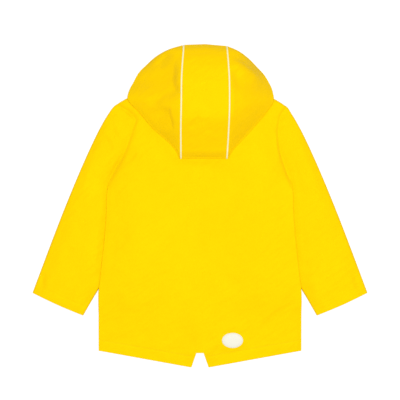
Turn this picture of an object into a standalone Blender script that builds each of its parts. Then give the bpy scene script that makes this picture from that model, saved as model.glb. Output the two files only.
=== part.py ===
"""Child's hooded softshell jacket, laid face down on a table with its hood over the back.

Metres, +Z up. +Y runs from the hem to the hood and X across the jacket. The origin is under the
middle of the jacket, on the table. Plan tables give `out`, the distance from the centre line, so
that one function cuts both sides. Every panel is a sheet of cloth on its middle surface.
"""

import math

import bpy
import numpy as np
from mathutils import Vector

# ---- cloth and layers ----
CLOTH = 0.0020  # bonded softshell, wall thickness
HALF = CLOTH / 2
GAP = 0.0003  # left between pieces that touch
AIR = 0.0034  # room between the laid fronts and back
FOLD = 0.0027  # plan radius of a side, shoulder or sleeve edge
SLEEVE_MID = (CLOTH + AIR) / 2 + HALF  # mid height of a sleeve's flat tube
SLEEVE_STACK = 2 * CLOTH + AIR + 2 * GAP  # how far a front rises over a sleeve
EDGE_GAP = 0.0009  # between back and front at their folded seams
LAP = 0.0050  # the back's armhole edge lies this far over the sleeve
LAP_RISE = 0.0024  # and rises this much to clear it
ARMHOLE_GAP = 0.0013  # between a front and the sleeve's mouth
SHELF_FLAT = 0.0100  # a panel stays level this far past the sleeve's hidden edge
SHELF_SLOPE = 0.0300  # then comes down over this width
HEM_DROP = (0.0040, 0.0300)  # the back falls to the table this far past the fronts' hem
HOOD_AIR = 0.0010  # room between the back and the hood's under layer
TUCK_FALL = 0.0200  # the under layer falls to the table over this width past the shoulder

# a folded edge as (share of FOLD inwards from the edge, share of the turn done)
FOLD_STEPS = ((0.0, 1.0), (0.134, 0.5), (0.5, 0.134), (1.0, 0.0))

# ---- plan tables, metres: out, y ----
SIDE_EDGE = (
    (0.1925, -0.2752),
    (0.1925, -0.2100),
    (0.1924, -0.1600),
    (0.1900, -0.1390),
    (0.1854, -0.0995),
    (0.1809, -0.0540),
    (0.1778, -0.0120),
    (0.1765, 0.0250),
    (0.1745, 0.0400),
)
ARMHOLE = {  # seam of the back: a curve from the underarm, then a straight to the shoulder
    "left": (
        (0.1745, 0.0400),
        (0.1649, 0.0601),
        (0.1423, 0.1027),
        (0.1277, 0.1453),
        (0.1224, 0.1612),
        (0.1580, 0.1920),
    ),
    "right": (
        (0.1745, 0.0400),
        (0.1663, 0.0601),
        (0.1543, 0.0947),
        (0.1490, 0.1187),
        (0.1497, 0.1500),
        (0.1530, 0.1665),
        (0.1640, 0.1865),
    ),
}
SLEEVE_OUTER = (  # shoulder to cuff
    (0.1619, 0.1893),
    (0.1752, 0.1722),
    (0.1900, 0.1473),
    (0.2090, 0.1092),
    (0.2280, 0.0668),
    (0.2470, 0.0214),
    (0.2660, -0.0259),
    (0.2850, -0.0755),
    (0.3040, -0.1261),
    (0.3165, -0.1641),
)
SLEEVE_INNER = (  # underarm to cuff, hidden under the body as far as its side edge
    (0.1695, 0.0400),
    (0.1600, 0.0050),
    (0.1558, -0.0400),
    (0.1565, -0.0800),
    (0.1680, -0.1220),
    (0.1925, -0.1574),
    (0.2223, -0.2078),
)
TOP_EDGE = (  # back neck, then shoulder
    (0.0000, 0.2050),
    (0.0200, 0.2062),
    (0.0400, 0.2100),
    (0.0580, 0.2170),
    (0.0700, 0.2250),
    (0.1390, 0.2035),
    (0.1474, 0.1988),
    (0.1537, 0.1950),
    (0.1580, 0.1920),
    (0.1640, 0.1865),
)
BACK_HEM = (  # slit, tip of the fishtail, side
    (0.0000, -0.2796),
    (0.0071, -0.2796),
    (0.0166, -0.3060),
    (0.1925, -0.2752),
)
NECK_POINT = (0.0700, 0.2250)
FRONT_NECK = ((0.0042, 0.1500), (0.0250, 0.1535), (0.0480, 0.1720), (0.0630, 0.1980), NECK_POINT)
FACE_EDGE = ((0.0042, 0.1780), (0.0160, 0.1810), (0.0290, 0.1930), (0.0400, 0.2130), (0.0480, 0.2350))
FRONT_HEM_Y = -0.2720
FRONT_EDGE = 0.0042  # the two fronts end this far from the centre line

# where the columns of the back and fronts meet the hem
HEM_STATIONS = (
    *(0.1925, 0.1921, 0.1911, 0.1898),
    *(0.1835, 0.1745, 0.1630, 0.1480, 0.1220, 0.0850, 0.0480, 0.0166),
)
SLIT_TOP = 0.0071
UNDERARM_Y = 0.0400
SIDE_TURN = 0.0200  # the side seam's fold comes in over this length below the underarm
SHOULDER_TURN = ((0.066, 0.076), (0.140, 0.154))  # where the shoulder's fold starts and ends
SIDE_ROWS = 9
ARM_ROWS = 5
SLEEVE_ROWS = 7
SLEEVE_COLUMNS = 4  # and three more that round each edge
ARMHOLE_SPAN = 0.145  # length of the sleeve's outer edge beside the armhole
CUFF_BOW = 0.0030  # the cuff's edge is this much longer at its middle
RAMP_TOP = 0.150  # the fronts start to climb on to the sleeves here
RAMP_FOOT = 0.070

# ---- hood ----
HOOD_FOLD_Y = 0.0886  # lowest edge of the turned-down hood
HOOD_FOLD = 0.0050
FOLD_ANGLES = np.radians((-54, -18, 18, 54))  # points round a fold
HOOD_HEM = 0.0190
HOOD_HEM_FOLD = 0.0015
HOOD_NECK_Y = 0.2050
STRIP_BOW = 0.0012  # height of the centre strip's middle over its seams
SEAM_HALF = 0.0023  # cloth stops this far from a piped seam's line
PIPING_RADIUS = 0.0015
PIPING_PROUD = 0.0006  # its centre over the cloth's middle
PIPING_SUNK = 0.0010  # and under it on the hidden layer
HOOD_SEAM = {  # out, y of the centre strip's seams
    "left": ((0.0361, 0.0886), (0.0361, 0.1480), (0.0352, 0.1950), (0.0346, 0.2410), (0.0304, 0.3050)),
    "right": ((0.0509, 0.0886), (0.0530, 0.1236), (0.0557, 0.1950), (0.0551, 0.2410), (0.0509, 0.3024)),
}
HOOD_TOP = ((-0.0304, 0.3049), (0.0095, 0.3064), (0.0509, 0.3028))  # x, y of the face edge
HOOD_MIDDLE = 0.0095
HOOD_RISE = (  # share of the way from the bottom fold to the face edge, height
    (0.00, 0.0194),
    (0.08, 0.0255),
    (0.17, 0.0310),
    (0.29, 0.0358),
    (0.43, 0.0385),
    (0.57, 0.0383),
    (0.71, 0.0348),
    (0.83, 0.0268),
    (0.92, 0.0155),
    (1.00, 0.0040),
)
# ribs of a side panel: seam y | rim out, y | end of the under layer out, y | fold radius
HOOD_RIBS = {
    "left": (
        (0.100, 0.0381, 0.0886, 0.0381, 0.1060, 0.0050),
        (0.110, 0.0480, 0.1070, 0.0381, 0.1230, 0.0048),
        (0.128, 0.0670, 0.1260, 0.0381, 0.1460, 0.0045),
        (0.150, 0.0920, 0.1490, 0.0378, 0.1700, 0.0042),
        (0.172, 0.1150, 0.1770, 0.0376, 0.1930, 0.0038),
        (0.192, 0.1372, 0.2015, 0.0540, 0.2140, 0.0030),
        (0.212, 0.1350, 0.2165, 0.0720, 0.2250, 0.0022),
        (0.232, 0.1270, 0.2330, 0.1060, 0.2260, 0.0016),
        (0.250, 0.1165, 0.2520, 0.0990, 0.2400, 0.0015),
        (0.264, 0.1020, 0.2680, 0.0880, 0.2540, 0.0015),
        (0.275, 0.0850, 0.2830, 0.0740, 0.2660, 0.0015),
        (0.283, 0.0600, 0.2965, 0.0540, 0.2775, 0.0015),
        (0.287, 0.0330, 0.3040, 0.0330, 0.2855, 0.0015),
    ),
    "right": (
        (0.100, 0.0529, 0.0886, 0.0529, 0.1060, 0.0050),
        (0.110, 0.0620, 0.1040, 0.0545, 0.1230, 0.0048),
        (0.128, 0.0790, 0.1225, 0.0555, 0.1460, 0.0045),
        (0.150, 0.1000, 0.1460, 0.0562, 0.1700, 0.0042),
        (0.172, 0.1205, 0.1705, 0.0572, 0.1930, 0.0038),
        (0.192, 0.1398, 0.1990, 0.0640, 0.2160, 0.0030),
        (0.212, 0.1385, 0.2130, 0.0740, 0.2250, 0.0022),
        (0.232, 0.1325, 0.2305, 0.1100, 0.2250, 0.0016),
        (0.250, 0.1225, 0.2475, 0.1040, 0.2370, 0.0015),
        (0.264, 0.1090, 0.2635, 0.0940, 0.2500, 0.0015),
        (0.275, 0.0930, 0.2795, 0.0810, 0.2640, 0.0015),
        (0.283, 0.0720, 0.2945, 0.0640, 0.2760, 0.0015),
        (0.287, 0.0529, 0.3020, 0.0529, 0.2840, 0.0015),
    ),
}
HOOD_RIB_COUNT = 17

# ---- badge and zip ----
BADGE_AT = (0.0618, -0.2558)
BADGE_SIZE = (0.0400, 0.0290)
BADGE_THICK = 0.0008
ZIP_BOTTOM = -0.2690
ZIP_TOP = 0.1490
CHAIN_HALF = 0.0039
TAPE_INNER = 0.0043
TAPE_WIDTH = 0.0130
TAPE_THICK = 0.0006
CHAIN_Z = (0.0017, 0.0035)
STOP_LENGTH = 0.0040
SLIDER_SIZE = (0.0078, 0.0100, 0.0032)
SLIDER_Y = 0.1435
PULL_SIZE = (0.0048, 0.0310, 0.0011)
PULL_HINGE = (0.0, 0.1430, 0.0009)
PULL_HEAD = 0.0005  # the pull reaches this far past its hinge
PULL_ROOM = 0.0009  # from the hinge's line to the slider

SIGN = {"left": -1, "right": 1}

# name: sRGB colour, roughness, metallic
FINISHES = {
    "softshell": ((249, 219, 4), 0.75, 0.0),
    "reflective": ((244, 243, 232), 0.45, 0.0),
    "zip_tape": ((240, 205, 10), 0.8, 0.0),
    "zip_metal": ((239, 206, 38), 0.4, 0.0),
}


def material(name):
    """The named finish as a Principled material."""
    if name in bpy.data.materials:
        return bpy.data.materials[name]
    colour, roughness, metallic = FINISHES[name]
    linear = [(channel / 255) ** 2.2 for channel in colour]
    made = bpy.data.materials.new(name)
    made.use_nodes = True
    shader = made.node_tree.nodes["Principled BSDF"]
    shader.inputs["Base Color"].default_value = (*linear, 1)
    shader.inputs["Roughness"].default_value = roughness
    shader.inputs["Metallic"].default_value = metallic
    return made


# ---- curves and patches ----


def ease(share):
    """Smooth step from 0 to 1."""
    share = np.clip(share, 0, 1)
    return share * share * (3 - 2 * share)


def curve(points, steps=12):
    """Dense smooth curve through a table's points, as a Hermite spline on chord length."""
    points = np.array(points, float)
    chord = np.concatenate([[0], np.cumsum(np.linalg.norm(np.diff(points, axis=0), axis=1))])
    slope = np.gradient(points, chord, axis=0)
    pieces = []
    for k in range(len(points) - 1):
        t = np.linspace(0, 1, steps, endpoint=False)[:, None]
        span = chord[k + 1] - chord[k]
        pieces.append(
            (2 * t**3 - 3 * t**2 + 1) * points[k]
            + (t**3 - 2 * t**2 + t) * span * slope[k]
            + (3 * t**2 - 2 * t**3) * points[k + 1]
            + (t**3 - t**2) * span * slope[k + 1]
        )
    return np.concatenate(pieces + [points[-1:]])


def length(line):
    """Length of a polyline."""
    return float(np.linalg.norm(np.diff(line, axis=0), axis=1).sum())


def spread(line, distances):
    """Points of a polyline at the given distances from its start."""
    along = np.concatenate([[0], np.cumsum(np.linalg.norm(np.diff(line, axis=0), axis=1))])
    return np.stack([np.interp(distances, along, line[:, k]) for k in range(line.shape[1])], axis=1)


def rim_distances(total, count, start=False, end=True):
    """Even distances along an edge, with the fold's close steps at either end."""
    steps = np.array([share * FOLD for share, _ in FOLD_STEPS])
    low = FOLD if start else 0
    high = total - FOLD if end else total
    middle = np.linspace(low, high, count)
    before = steps[:-1] if start else []
    after = total - steps[:-1][::-1] if end else []
    return np.concatenate([before, middle, after])


def coons(left, right, bottom, top):
    """Four-sided patch of plan points between edges that share their corners."""

    def shares(one, other):
        total = np.zeros(len(one))
        for line in (one, other):
            along = np.concatenate([[0], np.cumsum(np.linalg.norm(np.diff(line, axis=0), axis=1))])
            total += along / along[-1] / 2
        return total

    v = shares(left, right)[:, None, None]
    u = shares(bottom, top)[None, :, None]
    across = (1 - u) * left[:, None] + u * right[:, None]
    upward = (1 - v) * bottom[None] + v * top[None]
    corners = (1 - u) * (1 - v) * bottom[0] + u * (1 - v) * bottom[-1]
    corners = corners + (1 - u) * v * top[0] + u * v * top[-1]
    return across + upward - corners


def to_side(points, side):
    """Table points (out, y) as plan points (x, y) of one side."""
    return np.array(points, float) * (SIGN[side], 1)


# ---- heights of the laid layers, as functions of the plan ----


def sleeve_reach(x, y):
    """How far out the sleeve's hidden inner edge, or its mouth, lies at height y."""
    reach = np.zeros(np.broadcast(x, y).shape)
    for side, sign in SIGN.items():
        mouth = np.array((*curve(ARMHOLE[side][:-1]), ARMHOLE[side][-1])) - (LAP, 0)
        inner = curve(SLEEVE_INNER)[::-1]
        line = np.concatenate([inner, mouth[1:]])
        reach = np.where(x * sign > 0, np.interp(y, line[:, 1], line[:, 0]), reach)
    return reach


def over_sleeve(x, y):
    """1 over the tucked sleeve, easing to 0 towards the middle of the body."""
    inward = sleeve_reach(x, y) - np.abs(x)
    return 1 - ease((inward - SHELF_FLAT) / SHELF_SLOPE)


def arm_ramp(y):
    """0 at the shoulder, 1 from the underarm down."""
    return ease((RAMP_TOP - y) / (RAMP_TOP - RAMP_FOOT))


def front_mid(x, y):
    """Middle surface of the fronts."""
    return HALF + SLEEVE_STACK * arm_ramp(y) * over_sleeve(x, y)


def back_mid(x, y):
    """Middle surface of the back, which drops to the table below the fronts' hem."""
    rise = LAP_RISE + (SLEEVE_STACK - LAP_RISE) * arm_ramp(y)
    drop = (CLOTH + AIR) * ease((FRONT_HEM_Y - HEM_DROP[0] - y) / (HEM_DROP[1] - HEM_DROP[0]))
    return HALF + CLOTH + AIR + rise * over_sleeve(x, y) - drop


def half_apart(x, y):
    """Half the distance between back and front, less the gap at their folded seams."""
    return (back_mid(x, y) - front_mid(x, y) - EDGE_GAP) / 2


def top_edge(out):
    """Height in plan of the neck and shoulder edge."""
    table = np.array(TOP_EDGE)
    return np.interp(out, table[:, 0], table[:, 1])


def shoulder_line(x):
    """The shoulder edge carried straight on across the neck."""
    return np.interp(np.abs(x), (NECK_POINT[0], 0.139), (NECK_POINT[1], 0.2035))


def tuck_mid(x, y):
    """Middle surface of the hood's under layer: on the back, and off its edge on the table."""
    on_body = 1 - ease((y - shoulder_line(x)) / TUCK_FALL)
    return HALF + (back_mid(x, y) + HALF + HOOD_AIR) * on_body


def hood_top(x):
    """Height in plan of the hood's face edge on the centre strip."""
    table = np.array(HOOD_TOP)
    return np.interp(x, table[:, 0], table[:, 1])


def crown(x, y):
    """Middle surface of the hood's upper layer along the centre strip."""
    start = HOOD_FOLD_Y + HALF + HOOD_FOLD
    share = (y - start) / (hood_top(x) - HALF - HOOD_HEM_FOLD - start)
    table = curve(HOOD_RISE)
    return np.interp(share, table[:, 0], table[:, 1])


# ---- making solids ----


def link(obj, finish):
    """Put an object in the jacket's collection with its finish."""
    COLLECTION.objects.link(obj)
    obj.data.materials.append(material(finish))
    return obj


def sheet(name, grid, finish="softshell", thickness=CLOTH, tube=False, slit=(-1, 0)):
    """A grid of middle-surface points (rows, columns, 3) given its thickness.

    A tube joins its last column to its first. A slit leaves out the faces beyond one column in
    the first rows.
    """
    rows, cols = grid.shape[:2]
    wrap = cols if tube else cols - 1
    faces = []
    for r in range(rows - 1):
        for c in range(wrap):
            if c == slit[0] and r < slit[1]:
                continue
            d = (c + 1) % cols
            faces.append((r * cols + c, r * cols + d, (r + 1) * cols + d, (r + 1) * cols + c))
    mesh = bpy.data.meshes.new(name)
    mesh.from_pydata(grid.reshape(-1, 3).tolist(), [], faces)
    mesh.shade_smooth()
    obj = link(bpy.data.objects.new(name, mesh), finish)
    wall = obj.modifiers.new("Wall", "SOLIDIFY")
    wall.thickness = thickness
    wall.offset = 0
    return obj


def lift(plan, height):
    """Plan points with their heights."""
    return np.concatenate([plan, height[..., None]], axis=-1)


def box(name, size, centre, finish, bevel=0.0):
    """A primitive box with its edges eased."""
    bpy.ops.mesh.primitive_cube_add(size=1, location=centre)
    obj = bpy.context.object
    obj.name = name
    obj.scale = size
    bpy.ops.object.transform_apply(location=False, rotation=False, scale=True)
    for owner in obj.users_collection:
        owner.objects.unlink(obj)
    link(obj, finish)
    if bevel:
        eased = obj.modifiers.new("Eased", "BEVEL")
        eased.width = bevel
        eased.segments = 2
    return obj


def turned_edges(rows, cols, side_turn, top_turn, both_sides):
    """Share of the fold's turn at each grid point, near the side edges and the shoulder edge."""
    turns = np.array([turn for _, turn in FOLD_STEPS])
    across = np.zeros((rows, cols))
    across[:, : len(turns)] = side_turn[0][:, None] * turns
    if both_sides:
        across[:, -len(turns) :] = side_turn[1][:, None] * turns[::-1]
    upward = np.zeros((rows, cols))
    upward[-len(turns) :] = top_turn[None, :] * turns[::-1][:, None]
    return 1 - (1 - across) * (1 - upward)


def shoulder_turn(x):
    """The shoulder edge is folded between the neck and the sleeve, and flat at both ends."""
    out = np.abs(x)
    (start, full), (last, end) = SHOULDER_TURN
    return ease((out - start) / (full - start)) * ease((end - out) / (end - last))


def side_turn(y):
    """The side edge is folded below the underarm and flat along the armhole."""
    return ease((UNDERARM_Y - y) / SIDE_TURN)


def body_edge(side, start_y, inset=0.0):
    """Side seam and armhole of one side from the hem to the shoulder, in rows."""
    seam = curve(SIDE_EDGE) - (HALF, 0)
    seam = seam[seam[:, 1] > start_y]
    first = (np.interp(start_y, curve(SIDE_EDGE)[:, 1], curve(SIDE_EDGE)[:, 0]) - HALF, start_y)
    seam = np.concatenate([[first], seam])
    step = length(seam) / SIDE_ROWS
    below = spread(seam, np.arange(SIDE_ROWS) * step)
    return np.concatenate([below, armhole(side, inset)])


def armhole(side, inset=0.0):
    """Armhole in rows: up its curve, then along the straight to the shoulder fold.

    An inset moves it inwards, and its end along the shoulder edge.
    """
    lower = curve(ARMHOLE[side][:-1]) - (inset, 0)
    end = ARMHOLE[side][-1][0] - inset
    upper = np.array((lower[-1], (end, top_edge(end) - HALF)))
    lower = spread(lower, np.linspace(0, length(lower), ARM_ROWS))
    upper = spread(upper, rim_distances(length(upper), 3)[1:])
    return np.concatenate([lower, upper])


def make_back():
    """The back: one panel from armhole to armhole, with the fishtail hem and its slit."""
    left = body_edge("left", BACK_HEM[-1][1]) * (-1, 1)
    right = body_edge("right", BACK_HEM[-1][1])
    outs = np.array((*HEM_STATIONS, SLIT_TOP))
    outs[: len(FOLD_STEPS)] -= HALF * np.linspace(1, 0.2, len(FOLD_STEPS))
    outs[0] = left[0][0] * -1
    x = np.concatenate([-outs, outs[::-1]])
    hem = np.array(BACK_HEM)
    bottom = np.stack([x, np.interp(np.abs(x), hem[:, 0], hem[:, 1])], axis=1)
    left[0] = bottom[0]
    right[0] = bottom[-1]
    share = (x - x[0]) / (x[-1] - x[0])
    top_x = left[-1][0] + share * (right[-1][0] - left[-1][0])
    top = np.stack([top_x, top_edge(np.abs(top_x)) - HALF], axis=1)
    top[0] = left[-1]
    top[-1] = right[-1]
    plan = coons(left, right, bottom, top)
    turn = turned_edges(
        len(left), len(x), (side_turn(left[:, 1]), side_turn(right[:, 1])), shoulder_turn(top_x), True
    )
    px, py = plan[..., 0], plan[..., 1]
    sheet("back", lift(plan, back_mid(px, py) - turn * half_apart(px, py)))


def front_neck():
    """Front neckline from the centre to the neck point."""
    line = curve(FRONT_NECK)
    return spread(line, rim_distances(length(line), ARM_ROWS + 2))


def make_front(side):
    """One front, from its side seam to the zip."""
    outer = body_edge(side, FRONT_HEM_Y, LAP + ARMHOLE_GAP)
    centre_y = np.linspace(FRONT_HEM_Y, FRONT_NECK[0][1], SIDE_ROWS, endpoint=False)
    centre = np.stack([np.full(SIDE_ROWS, FRONT_EDGE), centre_y], axis=1)
    inner = np.concatenate([centre, front_neck()])
    outs = np.array((*HEM_STATIONS[:-1], 0.0200, FRONT_EDGE))
    outs[: len(FOLD_STEPS)] -= HALF * np.linspace(1, 0.2, len(FOLD_STEPS))
    outs[0] = outer[0][0]
    bottom = np.stack([outs, np.full(len(outs), FRONT_HEM_Y)], axis=1)
    share = (outs[0] - outs) / (outs[0] - outs[-1])
    top_out = outer[-1][0] + share * (inner[-1][0] - outer[-1][0])
    top = np.stack([top_out, top_edge(top_out) - HALF], axis=1)
    top[0] = outer[-1]
    top[-1] = inner[-1]
    plan = coons(outer, inner, bottom, top)
    turn = turned_edges(
        len(outer), len(outs), (side_turn(outer[:, 1]),), shoulder_turn(top_out), False
    )
    plan = to_side(plan, side)
    px, py = plan[..., 0], plan[..., 1]
    sheet("front_" + side, lift(plan, front_mid(px, py) + turn * half_apart(px, py)))


def make_sleeve(side):
    """A flat tube from the armhole to the cuff, half-round along both edges.

    Its upper and lower layers are joined all along the outer edge, but along the inner edge only
    below the underarm: above it they end at the armhole.
    """
    mouth = armhole(side, LAP)
    top = mouth[[-1, ARM_ROWS - 1]]
    mouth = mouth[:ARM_ROWS][::-1]
    outer = curve((top[0], *SLEEVE_OUTER))
    beside = np.linspace(0, ARMHOLE_SPAN, ARM_ROWS)
    below = np.linspace(ARMHOLE_SPAN, length(outer), SLEEVE_ROWS)[1:]
    outer = spread(outer, np.concatenate([beside, below]))
    inner = curve(SLEEVE_INNER)
    inner = spread(inner, np.linspace(0, length(inner), SLEEVE_ROWS)[1:])
    inner = np.concatenate([mouth, inner + (HALF, 0)])
    outer[1:] -= (HALF, 0)
    bow = (outer[-1] + inner[-1]) / 2 - (0.3 * CUFF_BOW, CUFF_BOW)
    cuff = curve((outer[-1], bow, inner[-1]))
    cuff = spread(cuff, rim_distances(length(cuff), SLEEVE_COLUMNS, start=True))
    top = spread(top, rim_distances(length(top), SLEEVE_COLUMNS, start=True))
    plan = to_side(coons(outer, inner, top, cuff), side)
    turns = np.array([turn for _, turn in FOLD_STEPS])
    closed = np.concatenate([np.zeros(ARM_ROWS), np.ones(SLEEVE_ROWS - 1)])
    turn = np.zeros(plan.shape[:2])
    turn[:, : len(turns)] = turns
    turn[:, -len(turns) :] = 0.9 * closed[:, None] * turns[::-1]
    half = (SLEEVE_MID - HALF) * (1 - turn)
    upper = lift(plan, SLEEVE_MID + half)
    lower = lift(plan, SLEEVE_MID - half)
    ring = np.concatenate([upper, lower[:, :0:-1]], axis=1)
    sheet("sleeve_" + side, ring, tube=True, slit=(plan.shape[1] - 1, ARM_ROWS - 1))


def seam_out(side, y):
    """Distance of the hood's piped seam from the centre line."""
    line = curve(HOOD_SEAM[side])
    return np.interp(y, line[:, 1], line[:, 0])


def strip_path(x, under_rows=5, upper_rows=13):
    """Rows (y, height, share of the way) of the centre strip from the neck round to the face hem."""
    fold_y = HOOD_FOLD_Y + HALF + HOOD_FOLD
    under_y = np.linspace(HOOD_NECK_Y, fold_y, under_rows)
    under = [(y, tuck_mid(x, y)) for y in under_y]
    turn_z = tuck_mid(x, fold_y) + HOOD_FOLD
    fold = [(fold_y - HOOD_FOLD * math.cos(a), turn_z + HOOD_FOLD * math.sin(a)) for a in FOLD_ANGLES]
    face_y = hood_top(x) - HALF - HOOD_HEM_FOLD
    upper = [(y, crown(x, y)) for y in np.linspace(fold_y, face_y, upper_rows)]
    return under, fold, upper


def make_hood_center():
    """The strip over the crown: under layer, bottom fold, crown and turned face hem."""
    under, fold, upper = strip_path(HOOD_MIDDLE)
    edge_y, edge_z = upper[-1]
    hem = []
    for angle in -FOLD_ANGLES:
        drop = HOOD_HEM_FOLD * (math.sin(angle) - 1)
        hem.append((edge_y + HOOD_HEM_FOLD * math.cos(angle), edge_z + drop))
    for back in (0.0, HOOD_HEM / 2, HOOD_HEM):
        hem.append((edge_y - back, edge_z - 2 * HOOD_HEM_FOLD))
    rows = np.array(under + fold + upper + hem)
    y = rows[:, 0]
    left = -seam_out("left", y) + SEAM_HALF
    right = seam_out("right", y) - SEAM_HALF
    first = len(under) + len(fold)
    bow = np.zeros(len(rows))
    bow[first : first + len(upper)] = STRIP_BOW
    follow = np.clip((y - HOOD_FOLD_Y) / (edge_y - HOOD_FOLD_Y), 0, 1) ** 6
    follow[: len(under)] = 0
    columns = []
    for share in np.linspace(0, 1, 6):
        x = left + share * (right - left)
        slant = follow * (hood_top(x) - hood_top(HOOD_MIDDLE))
        crowned = bow * (1 - (2 * share - 1) ** 2)
        columns.append(np.stack([x, y + slant, rows[:, 1] + crowned], axis=1))
    sheet("hood_center", np.stack(columns, axis=1))


def make_hood_side(side):
    """A side panel as ribs: crown seam to rim, round the rim's fold and back underneath."""
    table = curve(HOOD_RIBS[side])
    ribs = spread(table, np.linspace(0, length(table), HOOD_RIB_COUNT))
    rows = []
    for k, (seam_y, rim_out, rim_y, tuck_out, tuck_y, fold) in enumerate(ribs):
        place = k / (HOOD_RIB_COUNT - 1)
        own = ease(place / 0.15) * ease((1 - place) / 0.15)  # 0 on the ribs beside the strip
        seam = to_side((seam_out(side, seam_y) + SEAM_HALF, seam_y), side)
        rim = to_side((max(rim_out, seam_out(side, rim_y) + SEAM_HALF), rim_y), side)
        tuck = to_side((max(tuck_out, seam_out(side, tuck_y) + SEAM_HALF), tuck_y), side)
        way = (rim - seam) / np.linalg.norm(rim - seam)
        turn = rim - way * (fold + HALF)
        low = float(tuck_mid(*turn))
        seam_z = float(crown(*seam))
        row = []
        for t in np.linspace(0, 1, 7):
            x, y = seam + t * (turn - seam)
            rib_z = low + 2 * fold + (seam_z - low - 2 * fold) * (1 - t**1.5)
            row.append((x, y, own * rib_z + (1 - own) * float(crown(x, y))))
        for angle in -FOLD_ANGLES:
            x, y = turn + way * fold * math.cos(angle)
            row.append((x, y, low + fold + fold * math.sin(angle)))
        for t in np.linspace(0, 1, 4):
            x, y = turn + t * (tuck - turn)
            row.append((x, y, float(tuck_mid(x, y))))
        rows.append(row)
    sheet("hood_" + side, np.array(rows))


def make_piping(side):
    """Round piping that fills the seam between the strip and a side panel."""
    under, fold, upper = strip_path(to_side((seam_out(side, 0.2), 0), side)[0])
    edge_y, edge_z = upper[-1]
    end = (edge_y + HOOD_HEM_FOLD, edge_z - HOOD_HEM_FOLD)
    rows = np.array(under + fold + upper + [end])
    slope = np.gradient(rows, axis=0)
    slope /= np.linalg.norm(slope, axis=1)[:, None]
    proud = np.full(len(rows), PIPING_PROUD)
    proud[: len(under)] = -PIPING_SUNK
    proud[len(under) : len(under) + len(fold)] = np.linspace(-PIPING_PROUD, PIPING_PROUD, len(fold))
    y = rows[:, 0] - slope[:, 1] * proud
    z = rows[:, 1] + slope[:, 0] * proud
    x = SIGN[side] * seam_out(side, y)
    data = bpy.data.curves.new("piping_" + side, "CURVE")
    data.dimensions = "3D"
    data.bevel_depth = PIPING_RADIUS
    data.bevel_resolution = 2
    data.use_fill_caps = True
    spline = data.splines.new("POLY")
    spline.points.add(len(x) - 1)
    for point, place in zip(spline.points, zip(x, y, z)):
        point.co = (*place, 1)
    link(bpy.data.objects.new("piping_" + side, data), "reflective")


def make_hood_end(side):
    """Front end of the hood, sewn to the front neckline and hidden under the body."""
    neck = front_neck() + (0, EDGE_GAP)
    face = curve(FACE_EDGE)
    face = spread(face, np.linspace(0, length(face), len(neck)))
    grid = np.stack([neck + t * (face - neck) for t in np.linspace(0, 1, 4)], axis=1)
    plan = to_side(grid, side)
    sheet("hood_end_" + side, lift(plan, np.full(plan.shape[:2], HALF)))


def make_badge():
    """Plain oval patch lying on the back near the hem."""
    steps = np.linspace(-1, 1, 6)
    u, v = np.meshgrid(steps, steps)
    x = BADGE_AT[0] + BADGE_SIZE[0] / 2 * u * np.sqrt(1 - v * v / 2)
    y = BADGE_AT[1] + BADGE_SIZE[1] / 2 * v * np.sqrt(1 - u * u / 2)
    z = back_mid(x, y) + HALF + GAP + BADGE_THICK / 2
    sheet("badge", np.stack([x, y, z], axis=-1), "reflective", BADGE_THICK)


def make_zip():
    """Closed zip between the fronts, with its slider at the neck and a hinged pull tab."""
    run = ZIP_TOP - ZIP_BOTTOM
    for side, sign in SIGN.items():
        x = sign * (TAPE_INNER + TAPE_WIDTH / 2)
        size = (TAPE_WIDTH, run, TAPE_THICK)
        centre = (x, ZIP_BOTTOM + run / 2, CLOTH + GAP + TAPE_THICK / 2)
        box("zip_tape_" + side, size, centre, "zip_tape")
    depth = CHAIN_Z[1] - CHAIN_Z[0]
    middle = sum(CHAIN_Z) / 2
    width = 2 * CHAIN_HALF
    top = SLIDER_Y - SLIDER_SIZE[1] / 2 - GAP
    chain = top - ZIP_BOTTOM - STOP_LENGTH - GAP
    box("zip_chain", (width, chain, depth), (0, top - chain / 2, middle), "zip_tape")
    stop_y = ZIP_BOTTOM + STOP_LENGTH / 2
    box("zip_stop", (width, STOP_LENGTH, depth), (0, stop_y, middle), "zip_metal", 0.0003)
    slider_z = PULL_HINGE[2] + PULL_ROOM + SLIDER_SIZE[2] / 2
    box("zip_slider", SLIDER_SIZE, (0, SLIDER_Y, slider_z), "zip_metal", 0.0006)
    pull = box("zip_pull", PULL_SIZE, PULL_HINGE, "zip_metal", 0.0003)
    reach = Vector((0, PULL_HEAD - PULL_SIZE[1] / 2, 0))
    for vertex in pull.data.vertices:
        vertex.co += reach


for old in list(bpy.data.objects):
    bpy.data.objects.remove(old)
COLLECTION = bpy.data.collections.new("softshell_jacket")
bpy.context.scene.collection.children.link(COLLECTION)

make_back()
make_hood_center()
make_badge()
make_zip()
for one_side in SIGN:
    make_front(one_side)
    make_sleeve(one_side)
    make_hood_side(one_side)
    make_hood_end(one_side)
    make_piping(one_side)
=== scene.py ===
# Looks of a child's hooded softshell jacket, laid face down on a table with its hood over the back.
# Metres, +Z up, +Y from the hem to the hood. The cloth follows the same outlines as the solids, at a
# finer pitch, and its folds, hems, stitches and zip are added here.
import math

import bpy
import numpy as np
from mathutils import Matrix


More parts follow.
